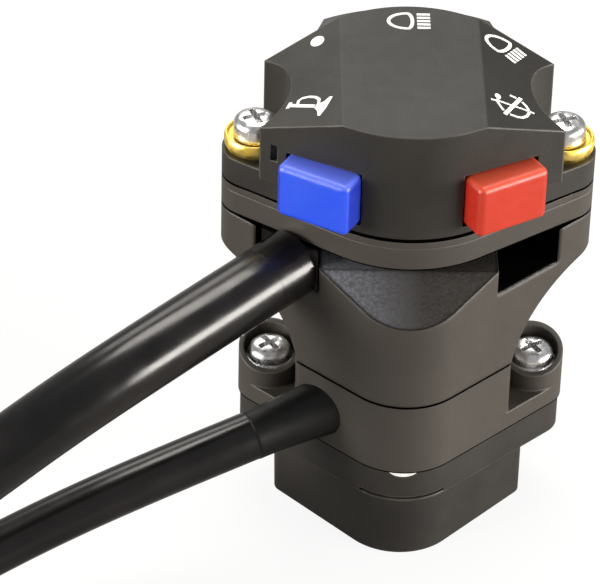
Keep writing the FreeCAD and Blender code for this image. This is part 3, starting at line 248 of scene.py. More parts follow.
def calculated(tree, operation, *values):
    """The result of one operation on sockets and numbers."""
    item = node(tree, "ShaderNodeMath", operation=operation)
    for index, value in enumerate(values):
        if isinstance(value, (int, float)):
            item.inputs[index].default_value = value
        else:
            tree.links.new(value, item.inputs[index])
    return item.outputs[0]


def product(tree, first, second):
    """Multiplies two sockets, or a socket and a number."""
    return calculated(tree, "MULTIPLY", first, second)


def along_axis(tree, axis):
    """The object-space coordinate along one axis."""
    place = node(tree, "ShaderNodeTexCoord")
    split = node(tree, "ShaderNodeSeparateXYZ")
    tree.links.new(place.outputs["Object"], split.inputs[0])
    return split.outputs[axis]


def facing(tree, axis):
    """How far the surface faces along one axis."""
    surface = node(tree, "ShaderNodeNewGeometry")
    split = node(tree, "ShaderNodeSeparateXYZ")
    tree.links.new(surface.outputs["Normal"], split.inputs[0])
    return split.outputs[axis]


# Joint lines: the levels of the joints in metres, half a line's width and its soft edge
JOINT_LEVELS = (0.0048, 0, -0.0198, -0.0315)
JOINT_HALF = 0.00016
JOINT_FADE = 0.00008
SHADOW = (0.001, 0.001, 0.001)
JOINTED_GLOSS = 0.4


def shadow_joints(tree, shader, colour, mask=None):
    """Darkens the thin lines at the levels where two housings meet, and paints shade over a mask's
    area.
    """
    height = along_axis(tree, "Z")
    for level in JOINT_LEVELS:
        gap = calculated(tree, "ABSOLUTE", calculated(tree, "SUBTRACT", height, level))
        line = ramp(tree, gap, 1.0, 0.0, JOINT_HALF, JOINT_HALF + JOINT_FADE)
        mask = line if mask is None else calculated(tree, "MAXIMUM", mask, line)
    tree.links.new(blend_colour(tree, mask, colour, SHADOW), shader.inputs["Base Color"])
    tree.links.new(ramp(tree, mask, JOINTED_GLOSS, 0.0, 0, 1),
                   shader.inputs["Specular IOR Level"])


def moulded(name, colour, worn, rough, grain=2600, grain_strength=0.25, edge=0.0004,
            joints=False, gloss=0.5):
    """Moulded plastic: fine grain, faint patches, and paler edges, a painted highlight broken up
    like wear.
    """
    material, tree, shader = new_material(name)
    shader.inputs["Specular IOR Level"].default_value = gloss
    normal, mask = soft_edges(tree, edge)
    patches = noise(tree, 60, 4)
    # Painted highlight on the edges, broken up by noise like wear
    edge_wear_and_highlight = product(tree, mask, ramp(tree, noise(tree, 300, 3), 0.4, 1.0))
    dust = blend_colour(tree, ramp(tree, patches, 0.0, 0.12), colour, worn)
    paint = blend_colour(tree, edge_wear_and_highlight, dust, worn)
    if joints:
        shadow_joints(tree, shader, paint)
    else:
        tree.links.new(paint, shader.inputs["Base Color"])
    tree.links.new(ramp(tree, noise(tree, 420, 3), rough - 0.02, rough + 0.03),
                   shader.inputs["Roughness"])
    tree.links.new(bumped(tree, noise(tree, grain, 2), grain_strength, 0.00008, normal),
                   shader.inputs["Normal"])
    return material


# The bridge's scoop, in metres: its edges across, and where its painted light on the left turns to
# painted shade on the right
SCOOP_SIDES = (0.01225, 0.0124)
SCOOP_TURN = (-0.012, 0.002)
SCOOP_ROUGHER = 0.2
# Painted shade along the scoop's front lip
LIP_SHADE = 0.9
# The bridge's side openings, inside which shade is painted, in metres: how far the slanted front
# wall stands back at x = 0 and how it leans, then the openings' inner and outer sides, floor and
# back, each with a soft edge
WALL_START = (-0.04152, -0.04122)
WALL_SLOPE = 0.9
HOLLOW_INNER = (0.01235, 0.0124)
HOLLOW_OUTER = (0.0212, 0.0214)
HOLLOW_FLOOR = (-0.006, -0.00592)
HOLLOW_BACK = (-0.01425, -0.01415)
HOLLOW_SHADE = 0.97


def hollow_shade_mask(tree, across):
    """Where shade is painted: the inside of the bridge's two side openings, behind its slanted
    front walls.
    """
    inward = along_axis(tree, "Y")
    behind = calculated(tree, "MULTIPLY_ADD", across, -WALL_SLOPE, inward)
    deep = ramp(tree, behind, 0.0, 1.0, *WALL_START)
    outward = product(tree, ramp(tree, across, 0.0, 1.0, *HOLLOW_INNER),
                      ramp(tree, across, 1.0, 0.0, *HOLLOW_OUTER))
    above = ramp(tree, along_axis(tree, "Z"), 0.0, 1.0, *HOLLOW_FLOOR)
    before = ramp(tree, inward, 1.0, 0.0, *HOLLOW_BACK)
    return product(tree, product(tree, deep, outward), product(tree, above, before))


def bridge_plastic(name, colour, worn, lit_left_colour, shaded_right_colour):
    """The bridge's plastic, with a coarse grain on the upward face between the notches, painted
    light on the scoop's left, painted shade on its right and lip, and painted shade inside the
    side openings.
    """
    material, tree, shader = new_material(name)
    normal, mask = soft_edges(tree, 0.0011)
    upward = ramp(tree, facing(tree, "Z"), 0.0, 1.0, 0.35, 0.5)
    sideways = along_axis(tree, "X")
    across = calculated(tree, "ABSOLUTE", sideways)
    region = product(tree, upward, ramp(tree, across, 1.0, 0.0, *SCOOP_SIDES))
    # Painted shade along the scoop's rounded front lip, from the edge mask
    shaded_lip = product(tree, region, ramp(tree, mask, 0.0, 1.0, 0.05, 0.3))
    region = product(tree, region, calculated(tree, "SUBTRACT", 1.0, shaded_lip))
    grain = noise(tree, 2300, 5, 0.6)
    # Painted light on the scoop's left, fading into painted shade on its right
    side = ramp(tree, sideways, 0.0, 1.0, *SCOOP_TURN)
    lit_to_shaded = blend_colour(tree, side, lit_left_colour, shaded_right_colour)
    speckle = blend_colour(tree, ramp(tree, grain, 0.0, 0.7, 0.4, 0.62), lit_to_shaded, colour)
    plain = blend_colour(tree, ramp(tree, noise(tree, 60, 4), 0.0, 0.15), colour, worn)
    # Painted shade on the lip and inside the side openings, darkening the colour and cutting the
    # gloss
    shade = calculated(tree, "MAXIMUM", product(tree, shaded_lip, LIP_SHADE),
                       product(tree, hollow_shade_mask(tree, across), HOLLOW_SHADE))
    shadow_joints(tree, shader, blend_colour(tree, region, plain, speckle), shade)
    rough = calculated(tree, "MULTIPLY_ADD", region, SCOOP_ROUGHER,
                       ramp(tree, noise(tree, 420, 3), 0.42, 0.48))
    tree.links.new(rough, shader.inputs["Roughness"])
    fine = bumped(tree, noise(tree, 2600, 2), 0.25, 0.00008, normal)
    tree.links.new(bumped(tree, product(tree, region, grain), 0.6, 0.0002, fine),
                   shader.inputs["Normal"])
    return material


# Button plastic: how much painted highlight its top and edges take, and how much painted shade its
# sides take
TOP_HIGHLIGHT = 0.45
EDGE_HIGHLIGHT = 0.7
SIDE_SHADE = 0.75


def tinted(name, colour, highlight_colour, deep, shaded, rough):
    """Coloured button plastic: painted highlight on its edges and top, deep front, painted shade
    on its sides.
    """
    material, tree, shader = new_material(name)
    normal, mask = soft_edges(tree, 0.0006)
    # Painted highlight on the upward faces
    top = product(tree, ramp(tree, facing(tree, "Z"), 0.0, 1.0, 0.3, 0.9), TOP_HIGHLIGHT)
    body = blend_colour(tree, ramp(tree, noise(tree, 120, 3), 0.0, 0.5), colour, deep)
    aside = calculated(tree, "ABSOLUTE", facing(tree, "X"))
    # Painted shade on the faces turned to either side
    side = product(tree, ramp(tree, aside, 0.0, 1.0, 0.6, 0.8), SIDE_SHADE)
    highlit_and_shaded = blend_colour(tree, side, blend_colour(tree, top, body, highlight_colour), shaded)
    # Painted highlight along the rounded edges
    tree.links.new(blend_colour(tree, product(tree, mask, EDGE_HIGHLIGHT), highlit_and_shaded, highlight_colour),
                   shader.inputs["Base Color"])
    tree.links.new(ramp(tree, noise(tree, 700, 3), rough - 0.04, rough + 0.06),
                   shader.inputs["Roughness"])
    shader.inputs["Subsurface Weight"].default_value = 0.15
    shader.inputs["Subsurface Scale"].default_value = 0.001
    tree.links.new(bumped(tree, noise(tree, 2200, 2), 0.15, 0.00006, normal),
                   shader.inputs["Normal"])
    return material


def metal(name, colour, dull, rough):
    """Plated metal with fine scratches and slightly dull patches."""
    material, tree, shader = new_material(name)
    normal = soft_edges(tree, 0.00015)[0]
    shader.inputs["Metallic"].default_value = 1.0
    patches = noise(tree, 500, 4)
    tree.links.new(blend_colour(tree, ramp(tree, patches, 0.0, 0.8), colour, dull),
                   shader.inputs["Base Color"])
    tree.links.new(ramp(tree, noise(tree, 900, 5), rough - 0.06, rough + 0.14),
                   shader.inputs["Roughness"])
    tree.links.new(bumped(tree, noise(tree, 2700, 3), 0.12, 0.00005, normal),
                   shader.inputs["Normal"])
    return material


def sleeve(name, colour, worn):
    """Shiny vinyl sleeve, faintly wavy over the wires inside."""
    material, tree, shader = new_material(name)
    patches = noise(tree, 90, 3)
    tree.links.new(blend_colour(tree, ramp(tree, patches, 0.0, 1.0), colour, worn),
                   shader.inputs["Base Color"])
    tree.links.new(ramp(tree, noise(tree, 350, 4), 0.2, 0.27), shader.inputs["Roughness"])
    shader.inputs["Specular IOR Level"].default_value = 0.32
    shader.inputs["Coat Weight"].default_value = 0.2
    shader.inputs["Coat Roughness"].default_value = 0.2
    wavy = bumped(tree, noise(tree, 60, 1), 0.15, 0.0012)
    tree.links.new(bumped(tree, noise(tree, 2400, 2), 0.08, 0.00006, wavy),
                   shader.inputs["Normal"])
    return material


def printed(name):
    """White of the ink and of the locating pin's front, a little uneven."""
    material, tree, shader = new_material(name)
    patches = noise(tree, 1800, 3)
    tree.links.new(blend_colour(tree, ramp(tree, patches, 0.0, 1.0), PALE_WHITE, DULL_WHITE),
                   shader.inputs["Base Color"])
    tree.links.new(ramp(tree, patches, 0.4, 0.6), shader.inputs["Roughness"])
    return material


PALE_WHITE = (0.86, 0.86, 0.84)
DULL_WHITE = (0.68, 0.68, 0.66)
CAP_BLACK = (0.0105, 0.0096, 0.008)
BODY_BLACK = (0.035, 0.0305, 0.026)
BASE_BLACK = (0.014, 0.0126, 0.0113)
# Tone of the faint patches, and the painted highlight on moulded edges
WORN_AND_HIGHLIGHT = (0.085, 0.078, 0.068)
MATERIALS = {
    "housing": moulded("housing", CAP_BLACK, WORN_AND_HIGHLIGHT, 0.46, joints=True),
    "body": moulded("body", BODY_BLACK, WORN_AND_HIGHLIGHT, 0.48, joints=True),
    "base": moulded("base", BASE_BLACK, WORN_AND_HIGHLIGHT, 0.48, joints=True),
    "selector": moulded("selector", (0.016, 0.016, 0.016), WORN_AND_HIGHLIGHT, 0.4),
    # Buttons: colour, painted highlight, deep tone, painted shade and roughness
    "blue": tinted("blue", (0.016, 0.066, 0.6), (0.2, 0.26, 0.88), (0.008, 0.045, 0.62),
                   (0.006, 0.012, 0.2), 0.36),
    "red": tinted("red", (0.36, 0.022, 0.007), (0.68, 0.11, 0.05), (0.4, 0.02, 0.007),
                  (0.3, 0.01, 0.004), 0.36),
    "steel": metal("steel", (0.85, 0.85, 0.86), (0.62, 0.62, 0.63), 0.24),
    "pin": printed("pin"),
    "zinc": metal("zinc", (0.95, 0.66, 0.09), (0.85, 0.68, 0.25), 0.36),
    "insert": metal("insert", (0.72, 0.55, 0.26), (0.55, 0.42, 0.2), 0.35),
    "bronze": metal("bronze", (0.75, 0.48, 0.26), (0.5, 0.34, 0.2), 0.3),
    "board": moulded("board", (0.26, 0.16, 0.06), (0.34, 0.24, 0.12), 0.5),
    "rubber": moulded("rubber", (0.003, 0.003, 0.003), (0.006, 0.006, 0.006), 0.42, 1500, 0.2,
                      0.0006, gloss=0.25),
    "cable": sleeve("cable", (0.002, 0.002, 0.002), (0.006, 0.005, 0.005)),
    "connector": moulded("connector", (0.72, 0.72, 0.68), (0.6, 0.6, 0.56), 0.4),
    "ink": printed("ink"),
    # The bridge's scoop takes a pale bluish painted light on its left and a dark painted shade on
    # its right
    "bridge": bridge_plastic("bridge", BODY_BLACK, WORN_AND_HIGHLIGHT, (0.15, 0.16, 0.19),
                             (0.014, 0.012, 0.011)),
}
# Nodes that look different from the rest of their slot
OWN_PAINT = {"clamp_bridge": "bridge", "indicator_case": "body", "lower_cover": "base",
             "base_plate": "body", "button_case": "body"}


def dress_nodes():
    """Gives every CAD node its own material, or that of its slot."""
    slots = {part["node"]: part["material_slot"] for part in frame["record"]["subparts"]}
    for name, item in frame["nodes"].items():
        paint = OWN_PAINT.get(name, slots[name])
        item.data.materials.clear()
        item.data.materials.append(MATERIALS[paint])


# Mesh helpers
SHARP = math.radians(30)
AROUND = 64
BOX_CORNERS = ((-1, -1), (1, -1), (1, 1), (-1, 1))
BOX_SIDES = ((0, 1, 2, 3), (7, 6, 5, 4), (0, 4, 5, 1), (1, 5, 6, 2), (2, 6, 7, 3), (3, 7, 4, 0))


def smooth(data):
    """Shades a mesh smooth, apart from its sharp edges."""
    for face in data.polygons:
        face.use_smooth = True
    data.set_sharp_from_angle(angle=SHARP)


def new_piece(name, mesh, paint):
    """Links a bmesh as a piece that rides on the switch."""
    data = bpy.data.meshes.new(name)
    bmesh.ops.recalc_face_normals(mesh, faces=mesh.faces)
    mesh.to_mesh(data)
    mesh.free()
    smooth(data)
    data.materials.append(MATERIALS[paint])
    piece = bpy.data.objects.new(name, data)
    bpy.context.collection.objects.link(piece)
    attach(piece, BODY)
    return piece


def prism(mesh, low, top):
    """Adds a closed prism between two rings of points to a bmesh."""
    rows = [[mesh.verts.new(point) for point in ring] for ring in (low, top)]
    mesh.faces.new(rows[0])
    mesh.faces.new(rows[1])
    for index in range(len(low)):
        after = (index + 1) % len(low)
        mesh.faces.new((rows[0][index], rows[0][after], rows[1][after], rows[1][index]))


def lathe(mesh, profile, place):
    """Adds a turned shape to a bmesh: profile points (radius, height), then a placement."""
    rings = []
    for radius, height in profile:
        if radius <= 0:
            rings.append([mesh.verts.new(place @ Vector((0, 0, height)))])
            continue
        ring = []
        for index in range(AROUND):
            angle = math.tau * index / AROUND
            spot = Vector((radius * math.cos(angle), radius * math.sin(angle), height))
            ring.append(mesh.verts.new(place @ spot))
        rings.append(ring)
    for first, second in zip(rings, rings[1:]):
        for index in range(AROUND):
            after = (index + 1) % AROUND
            corners = [first[index % len(first)], first[after % len(first)],
                       second[after % len(second)], second[index % len(second)]]
            unique = list(dict.fromkeys(corners))
            if len(unique) >= 3:
                mesh.faces.new(unique)
    for ring in (rings[0], rings[-1]):
        if len(ring) > 2:
            mesh.faces.new(ring)


def box_in(mesh, width, depth, height, place):
    """Adds a box on its base centre to a bmesh."""
    corners = [
        mesh.verts.new(place @ Vector((x * width / 2, y * depth / 2, z * height)))
        for z in (0, 1) for x, y in BOX_CORNERS
    ]
    for side in BOX_SIDES:
        mesh.faces.new([corners[index] for index in side])


def frame_along(start, direction):
    """A placement at a point with its Z along a direction."""
    turn = Vector(direction).to_track_quat("Z", "Y").to_matrix().to_4x4()
    return Matrix.Translation(start) @ turn


# Printed symbols on the cap, in millimetres
CAP_LEVEL = 21.7
WING_START = 9.75
WING_FALL = math.tan(math.radians(21))
INK_HEIGHT = 0.03


def on_cap(x, y, lift):
    """A point on the cap's top, which falls away on both sides."""
    fall = max(0, abs(x) - WING_START) * WING_FALL
    return mm(x, y, CAP_LEVEL - fall + lift)


def stroke(mesh, points, width, closed=False):
    """Adds a line of ink of one width to a bmesh, laid on the cap."""
    spots = [Vector(point) for point in points]
    count = len(spots)
    sides = []
    for index in range(count):
        before = spots[index - 1] if index or closed else spots[index]
        after = spots[(index + 1) % count] if index + 1 < count or closed else spots[index]
        along = (after - before).normalized()
        out = Vector((-along.y, along.x)) * width / 2
        sides.append((spots[index] + out, spots[index] - out))
    rows = [
        [mesh.verts.new(on_cap(*point, lift)) for point, lift in (
            (left, 0), (left, INK_HEIGHT), (right, INK_HEIGHT), (right, 0))]
        for left, right in sides
    ]
    last = count if closed else count - 1
    for index in range(last):
        first, second = rows[index], rows[(index + 1) % count]
        for edge in range(4):
            after = (edge + 1) % 4
            mesh.faces.new((first[edge], first[after], second[after], second[edge]))
    if not closed:
        mesh.faces.new(rows[0])
        mesh.faces.new(reversed(rows[-1]))


def patch(mesh, ring):
    """Adds a filled outline of ink."""
    prism(mesh, [on_cap(*point, 0) for point in ring],
          [on_cap(*point, INK_HEIGHT) for point in ring])


def disc(mesh, x, y, across, along, around=32):
    """Adds a filled ellipse of ink."""
    patch(mesh, [
        (x + across * math.cos(math.tau * i / around), y + along * math.sin(math.tau * i / around))
        for i in range(around)
    ])


def turned(points, x, y, angle, scale):
    """A symbol's points turned, scaled and moved to their place on the cap."""
    lean = math.radians(angle)
    return [
        (x + scale * (a * math.cos(lean) - b * math.sin(lean)),
         y + scale * (a * math.sin(lean) + b * math.cos(lean)))
        for a, b in points
    ]


# Headlamp symbol: the lens's flat and round reach, half its height, its beams and their places
LENS_STEPS = 36
LENS_FLAT = 0.7
LENS_ROUND = 2.65
LENS_HALF = 1.95
LAMP_LINE = 0.5
BEAMS = 5
BEAM_PITCH = 0.86
BEAM_START = 1.35
BEAM_END = 3.2


def lamp_symbol(name, x, y, angle, scale, slant):
    """A headlamp: a rounded lens and its beams."""
    mesh = bmesh.new()
    lens = []
    for index in range(LENS_STEPS):
        t = math.tau * index / LENS_STEPS
        reach = LENS_FLAT if math.cos(t) > 0 else LENS_ROUND
        lens.append((reach * math.cos(t), LENS_HALF * math.sin(t)))
    stroke(mesh, turned(lens, x, y, angle, scale), LAMP_LINE, closed=True)
    for beam in range(BEAMS):
        across = (beam - BEAMS // 2) * BEAM_PITCH
        line = [(BEAM_START, across), (BEAM_END, across - slant)]
        stroke(mesh, turned(line, x, y, angle, scale), LAMP_LINE)
    new_piece(name, mesh, "ink")


def make_symbols():
    lamp_symbol("high_beam_symbol", -0.3, -3.6, 0, 1, 0)
    lamp_symbol("low_beam_symbol", 12.95, -7.95, -30, 0.94, 0.35)
    mesh = bmesh.new()
    disc(mesh, -12.93, -7.23, 0.95, 1.2)
    new_piece("off_dot", mesh, "ink")
    # Horn: tube, mouthpiece, bell and the coiled pipe above it
    mesh = bmesh.new()
    stroke(mesh, [(-16.9, -21.1), (-15.01, -22.23), (-13.3, -23.2)], 0.62)
    stroke(mesh, [(-17.14, -21.7), (-16.67, -20.5)], 0.5)
    patch(mesh, [(-11.02, -22.1), (-11.39, -21.88), (-12.21, -22.7), (-12.77, -22.85),
                 (-13.45, -22.8), (-13.57, -23.5), (-13.29, -24.03), (-13.1, -24.73),
                 (-13.13, -25.62), (-12.8, -25.8), (-11.9, -24.3)])
    stroke(mesh, [(-15.76, -21.6), (-15.64, -20.66), (-15.1, -20.29), (-14.2, -20.43),
                  (-13.31, -21.0), (-12.84, -21.79), (-12.94, -22.9)], 0.42)
    new_piece("horn_symbol", mesh, "ink")
    # Engine stop: an open loop with an arrow, crossed out
    mesh = bmesh.new()
    stroke(mesh, [(14.97, -20.66), (15.49, -21.27), (15.79, -22.05), (15.83, -22.89),
                  (15.46, -23.81), (14.85, -24.53), (14.08, -24.8), (13.08, -24.77)], 0.4)
    stroke(mesh, [(13.3, -19.97), (14.2, -20.15)], 0.42)
    stroke(mesh, [(12.35, -25.15), (14.85, -19.77)], 0.55)
    stroke(mesh, [(10.57, -22.52), (11.9, -22.33), (13.4, -22.36), (14.79, -22.34),
                  (16.58, -22.5)], 0.34)
    stroke(mesh, [(11.56, -21.43), (11.48, -22.79), (12.21, -24.3)], 0.36)
    disc(mesh, 11.57, -21.22, 0.42, 0.6, 20)
    new_piece("engine_stop_symbol", mesh, "ink")


# Screws
EAR_X = 21.44
AXIS_Y = -16.3
LOWER_EAR_X = 18.88
LOWER_EAR_Y = -18.8
# Each pair: the level under the head, the head's height, its flange's radius, the tip's level
# and how far the cross recess is turned, in degrees
UPPER_SCREWS = (11.0, 3.05, 3.15, -5.0, 20)
LOWER_SCREWS = (-26.1, 2.58, 3.5, -36.1, 35)
HEAD_SIDE = 3.05
HEAD_TURN = 1.3
HEAD_STEPS = 9
SHANK_RADIUS = 1.95
TIP_TAPER = 0.4
# Cross recess: depth below the top, half length and width there, then the same above the top
RECESS = ((-1.5, 1.0, 0.55), (0.3, 2.1, 0.95))
# Cupped washers: the level they sit on, and their section as radius and height above it
WASHER_SEAT = 9.0
WASHER_PROFILE = (
    (2.2, 0.02), (3.7, 0.02), (4.1, 0.35), (4.3, 0.8), (4.38, 1.2), (4.38, 1.8), (4.3, 2.2),
    (4.15, 2.4), (3.95, 2.4), (3.82, 2.25), (3.75, 1.95), (2.2, 1.9), (2.2, 0.02),
)
# The locating pin's front: the joint's level, radius, how far it hangs below the joint, how far
# its front lies behind the lower cover's, and its depth
STUD_LEVEL = -31.5
STUD_RADIUS = 2.86
STUD_DROP = 0.92
STUD_OUT = 0.1
STUD_DEPTH = 1.6
STUD_STEPS = 24
# The tray's rim: radii of the disc and the ears outside and inside, and its two levels
RIM_OUTSIDE = (16.78, 4.58)
RIM_INSIDE = (15.6, 3.8)
RIM_LEVELS = (3.5, 4.72)
ARC_STEPS = 24


def head_profile(height, flange):
    """A pan head with a thin flange: a steep side that rolls into a low dome."""
    points = [(flange, 0.05), (flange, 0.4), (HEAD_SIDE + 0.08, 0.52), (HEAD_SIDE, 0.75)]
    start = height - HEAD_TURN
    for index in range(HEAD_STEPS):
        t = math.radians(90 * index / HEAD_STEPS)
        points.append((HEAD_SIDE * math.cos(t) ** 0.5, start + HEAD_TURN * math.sin(t)))
    points.append((0, height))
    return points


def recess_tool(cutter, place, height, angle):
    """Adds one tapered bar of a cross recess to the cutter."""
    turn = place @ Matrix.Rotation(math.radians(angle), 4, "Z")
    corners = []
    for level, length, width in RECESS:
        for a, b in BOX_CORNERS:
            spot = turn @ Vector((a * length, b * width / 2, height + level))
            corners.append(cutter.verts.new(spot))
    for side in BOX_SIDES:
        cutter.faces.new([corners[index] for index in side])


def make_screws(name, spots, sizes, node_name):
    """Pan-head screws, their cross recesses cut by a tapered tool."""
    seat, height, flange, tip, lean = sizes
    mesh = bmesh.new()
    cutter = bmesh.new()
    for x, y in spots:
        place = Matrix.Translation(mm(x, y, seat)) @ Matrix.Scale(MM, 4)
        shank = [(0, tip - seat), (SHANK_RADIUS - TIP_TAPER, tip - seat),
                 (SHANK_RADIUS, tip - seat + 0.5), (SHANK_RADIUS, 0.0)]
        lathe(mesh, shank + head_profile(height, flange), place)
        for angle in (lean, lean + 90):
            recess_tool(cutter, place, height, angle)
    piece = new_piece(name, mesh, "steel")
    tool = new_piece(f"{name}_tool", cutter, "steel")
    cut_with(piece, tool)
    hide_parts(node_name)


def cut_with(piece, tool):
    """Cuts a piece by a tool and keeps the result as the piece's mesh."""
    modifier = piece.modifiers.new("cut", "BOOLEAN")
    modifier.object = tool
    modifier.operation = "DIFFERENCE"
    modifier.solver = "EXACT"
    modifier.use_self = True
    shape = piece.evaluated_get(bpy.context.evaluated_depsgraph_get())
    data = bpy.data.meshes.new_from_object(shape)
    piece.modifiers.clear()
    piece.data = data
    smooth(data)
    bpy.data.objects.remove(tool)


def make_fasteners():
    upper = [(side * EAR_X, AXIS_Y) for side in (-1, 1)]
    lower = [(side * LOWER_EAR_X, LOWER_EAR_Y) for side in (-1, 1)]
    make_screws("upper_screw_set", upper, UPPER_SCREWS, "upper_screws")
    make_screws("lower_screw_set", lower, LOWER_SCREWS, "lower_screws")
    make_stud()
    make_rim()
    # Cupped washers with a rolled rim
    mesh = bmesh.new()
    for x, y in upper:
        lathe(mesh, WASHER_PROFILE,
              Matrix.Translation(mm(x, y, WASHER_SEAT)) @ Matrix.Scale(MM, 4))
    piece = new_piece("upper_washer_set", mesh, "zinc")
    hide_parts("upper_washers")


def make_stud():
    """The locating pin's bright front, in the notch of the lower cover's top edge."""
    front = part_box("lower_cover")[0].y / MM + STUD_OUT
    half = math.acos(1 - STUD_DROP / STUD_RADIUS)
    centre = STUD_LEVEL + STUD_RADIUS - STUD_DROP
    ring = []
    for index in range(STUD_STEPS + 1):
        angle = -math.pi / 2 + half * (2 * index / STUD_STEPS - 1)
        ring.append((STUD_RADIUS * math.cos(angle), centre + STUD_RADIUS * math.sin(angle)))
    mesh = bmesh.new()
    prism(mesh, [mm(x, front, z) for x, z in ring],
          [mm(x, front + STUD_DEPTH, z) for x, z in ring])
    new_piece("locating_stud", mesh, "pin")


def ear_outline(radius, ear_radius):
    """The upper module's plan: a disc drawn out to two ears."""
    reach = math.acos((radius - ear_radius) / EAR_X)
    points = []
    for centre, size, start, end in (
            (EAR_X, ear_radius, -reach, reach), (0, radius, reach, math.pi - reach),
            (-EAR_X, ear_radius, math.pi - reach, math.pi + reach),
            (0, radius, math.pi + reach, math.tau - reach)):
        for index in range(ARC_STEPS + 1):
            angle = start + (end - start) * index / ARC_STEPS
            points.append((centre + size * math.cos(angle), AXIS_Y + size * math.sin(angle)))
    return points


def make_rim():
    """The tray's rim, flush with the band below it, so that one line shows under the cap."""
    mesh = bmesh.new()
    outer, inner = ear_outline(*RIM_OUTSIDE), ear_outline(*RIM_INSIDE)
    low, top = RIM_LEVELS
    count = len(outer)
    rings = [[mesh.verts.new(mm(x, y, z)) for x, y in line]
             for line, z in ((inner, low), (outer, low), (outer, top), (inner, top))]
    for index in range(count):
        after = (index + 1) % count
        for here, there in zip(rings, rings[1:] + rings[:1]):
            mesh.faces.new((here[index], here[after], there[after], there[index]))
    new_piece("tray_rim", mesh, "body")


# Rubber boot and grommet collar: radius at the wall, length and rim of each, steps and power of
# the flare, how far the end tucks in, then the levels and the plan of the grommet's block
MAIN_COLLAR = (4.9, 6.0, 0.02)
INDICATOR_BOOT = (5.0, 16.0, 0.06)
BOOT_STEPS = 14
BOOT_POWER = 2.2
BOOT_TUCK = 0.4
GROMMET_LEVELS = (-5.65, -0.2)
GROMMET_OUTLINE = ((-20.4, -22.4), (-17.4, -20.2), (-12.6, -20.2), (-12.6, -30.2), (-20.4, -23.2))


def make_boot(name, route, radius, shape, node_name, paint, extra=None):
    """A smooth rubber cone that flares where it meets the wall."""
    base, reach, rim = shape
    mesh = bmesh.new()
    start, following = mm(*route[0]), mm(*route[1])
    direction = (following - start).normalized()
    place = frame_along(start - direction * reach * MM, direction) @ Matrix.Scale(MM, 4)
    profile = [(0, 0)]
    for index in range(BOOT_STEPS + 1):
        t = index / BOOT_STEPS
        flare = (1 - t) ** BOOT_POWER
        profile.append((radius + rim + (base - radius - rim) * flare, reach * t))
    profile.append((radius + rim / 3, reach + rim / 3))
    profile.append((radius - BOOT_TUCK, reach + rim / 3))
    profile.append((0, reach - BOOT_TUCK))
    lathe(mesh, profile, place)
    if extra:
        extra(mesh)
    piece = new_piece(name, mesh, paint)
    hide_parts(node_name)


def grommet_block(mesh):
    """The part of the grommet that fills the notch beside the middle block."""
    prism(mesh, *([mm(x, y, z) for x, y in GROMMET_OUTLINE] for z in GROMMET_LEVELS))


# Connectors: width of the bars between the cavities, how far their front part reaches back, the
# bars' depth, how high the housing starts, and the ribs' pitch
PLUG_WALL = 0.9
PLUG_MOUTH = 1.3
BAR_DEPTH = 1.2
PLUG_INSET = 0.35
RIB_PITCH = 2.1


def make_connector(name, end, heading, radius, shape, node_name, columns):
    """A plug housing with a rear shroud, ribs, a latch and rows of open cavities."""
    length, width = shape
    height = radius * 2
    mesh = bmesh.new()
    turn = Matrix.Rotation(math.atan2(heading.y, heading.x), 4, "Z")
    base = Matrix.Translation(Vector((end.x, end.y, end.z - radius * MM))) @ turn
    place = base @ Matrix.Scale(MM, 4)
    body = length * 0.86

    def part(start, long, wide, low, tall):
        spot = place @ Matrix.Translation((start + long / 2, 0, low))
        box_in(mesh, long, wide, tall, spot)

    part(0, length - body + 0.2, width * 0.82, height * 0.1, height * 0.8)
    part(length - body, body - BAR_DEPTH, width, PLUG_INSET, height - 0.9)
    for rib in range(3):
        part(length - body + 1 + rib * RIB_PITCH, 0.9, width, 0.05, height - 0.1)
    # Latch and its catch
    part(length * 0.45, length * 0.5, width * 0.34, height - 0.8, 0.75)
    part(length - 2.0, 1.4, width * 0.44, height - 0.6, 0.6)
    # Bars between the cavities
    pitch = (width - PLUG_WALL) / columns
    front = length - PLUG_MOUTH
    for bar in range(columns + 1):
        offset = -width / 2 + PLUG_WALL / 2 + bar * pitch
        spot = place @ Matrix.Translation((front + BAR_DEPTH / 2, offset, PLUG_INSET))
        box_in(mesh, BAR_DEPTH, PLUG_WALL, height - 0.9, spot)
    for level in (PLUG_INSET, height / 2 - PLUG_WALL / 2 - 0.1, height - PLUG_WALL - 0.55):
        part(front, BAR_DEPTH, width, level, PLUG_WALL)
    piece = new_piece(name, mesh, "connector")
    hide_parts(node_name)
    return piece


def make_cables():
    main, end, heading = make_cable(
        "main_sleeve", MAIN_ROUTE, MAIN_CABLE_RADIUS, ("main_cable", "main_cable_coil"))
    plug = make_connector("main_plug", end, heading, MAIN_CABLE_RADIUS, MAIN_CONNECTOR,
                          "main_connector", 3)
    indicator, end, heading = make_cable(
        "indicator_sleeve", INDICATOR_ROUTE, INDICATOR_CABLE_RADIUS,
        ("indicator_cable", "indicator_cable_coil"))
    plug = make_connector("indicator_plug", end, heading, INDICATOR_CABLE_RADIUS,
                          INDICATOR_CONNECTOR, "indicator_connector", 2)
    make_boot("main_collar", MAIN_ROUTE, MAIN_CABLE_RADIUS, MAIN_COLLAR, "main_grommet",
              "cable", grommet_block)
    make_boot("indicator_sleeve_boot", INDICATOR_ROUTE, INDICATOR_CABLE_RADIUS, INDICATOR_BOOT,
              "indicator_boot", "rubber")


# Floor and light
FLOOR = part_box("lower_cover")[0].z
FLOOR_HALF = 4.0
FLOOR_DROP = 0.00005
# Share of pure white in what the camera sees, and the shadowed rest
FLOOR_WHITE = 0.88
FLOOR_COLOUR = (0.85, 0.85, 0.85, 1)
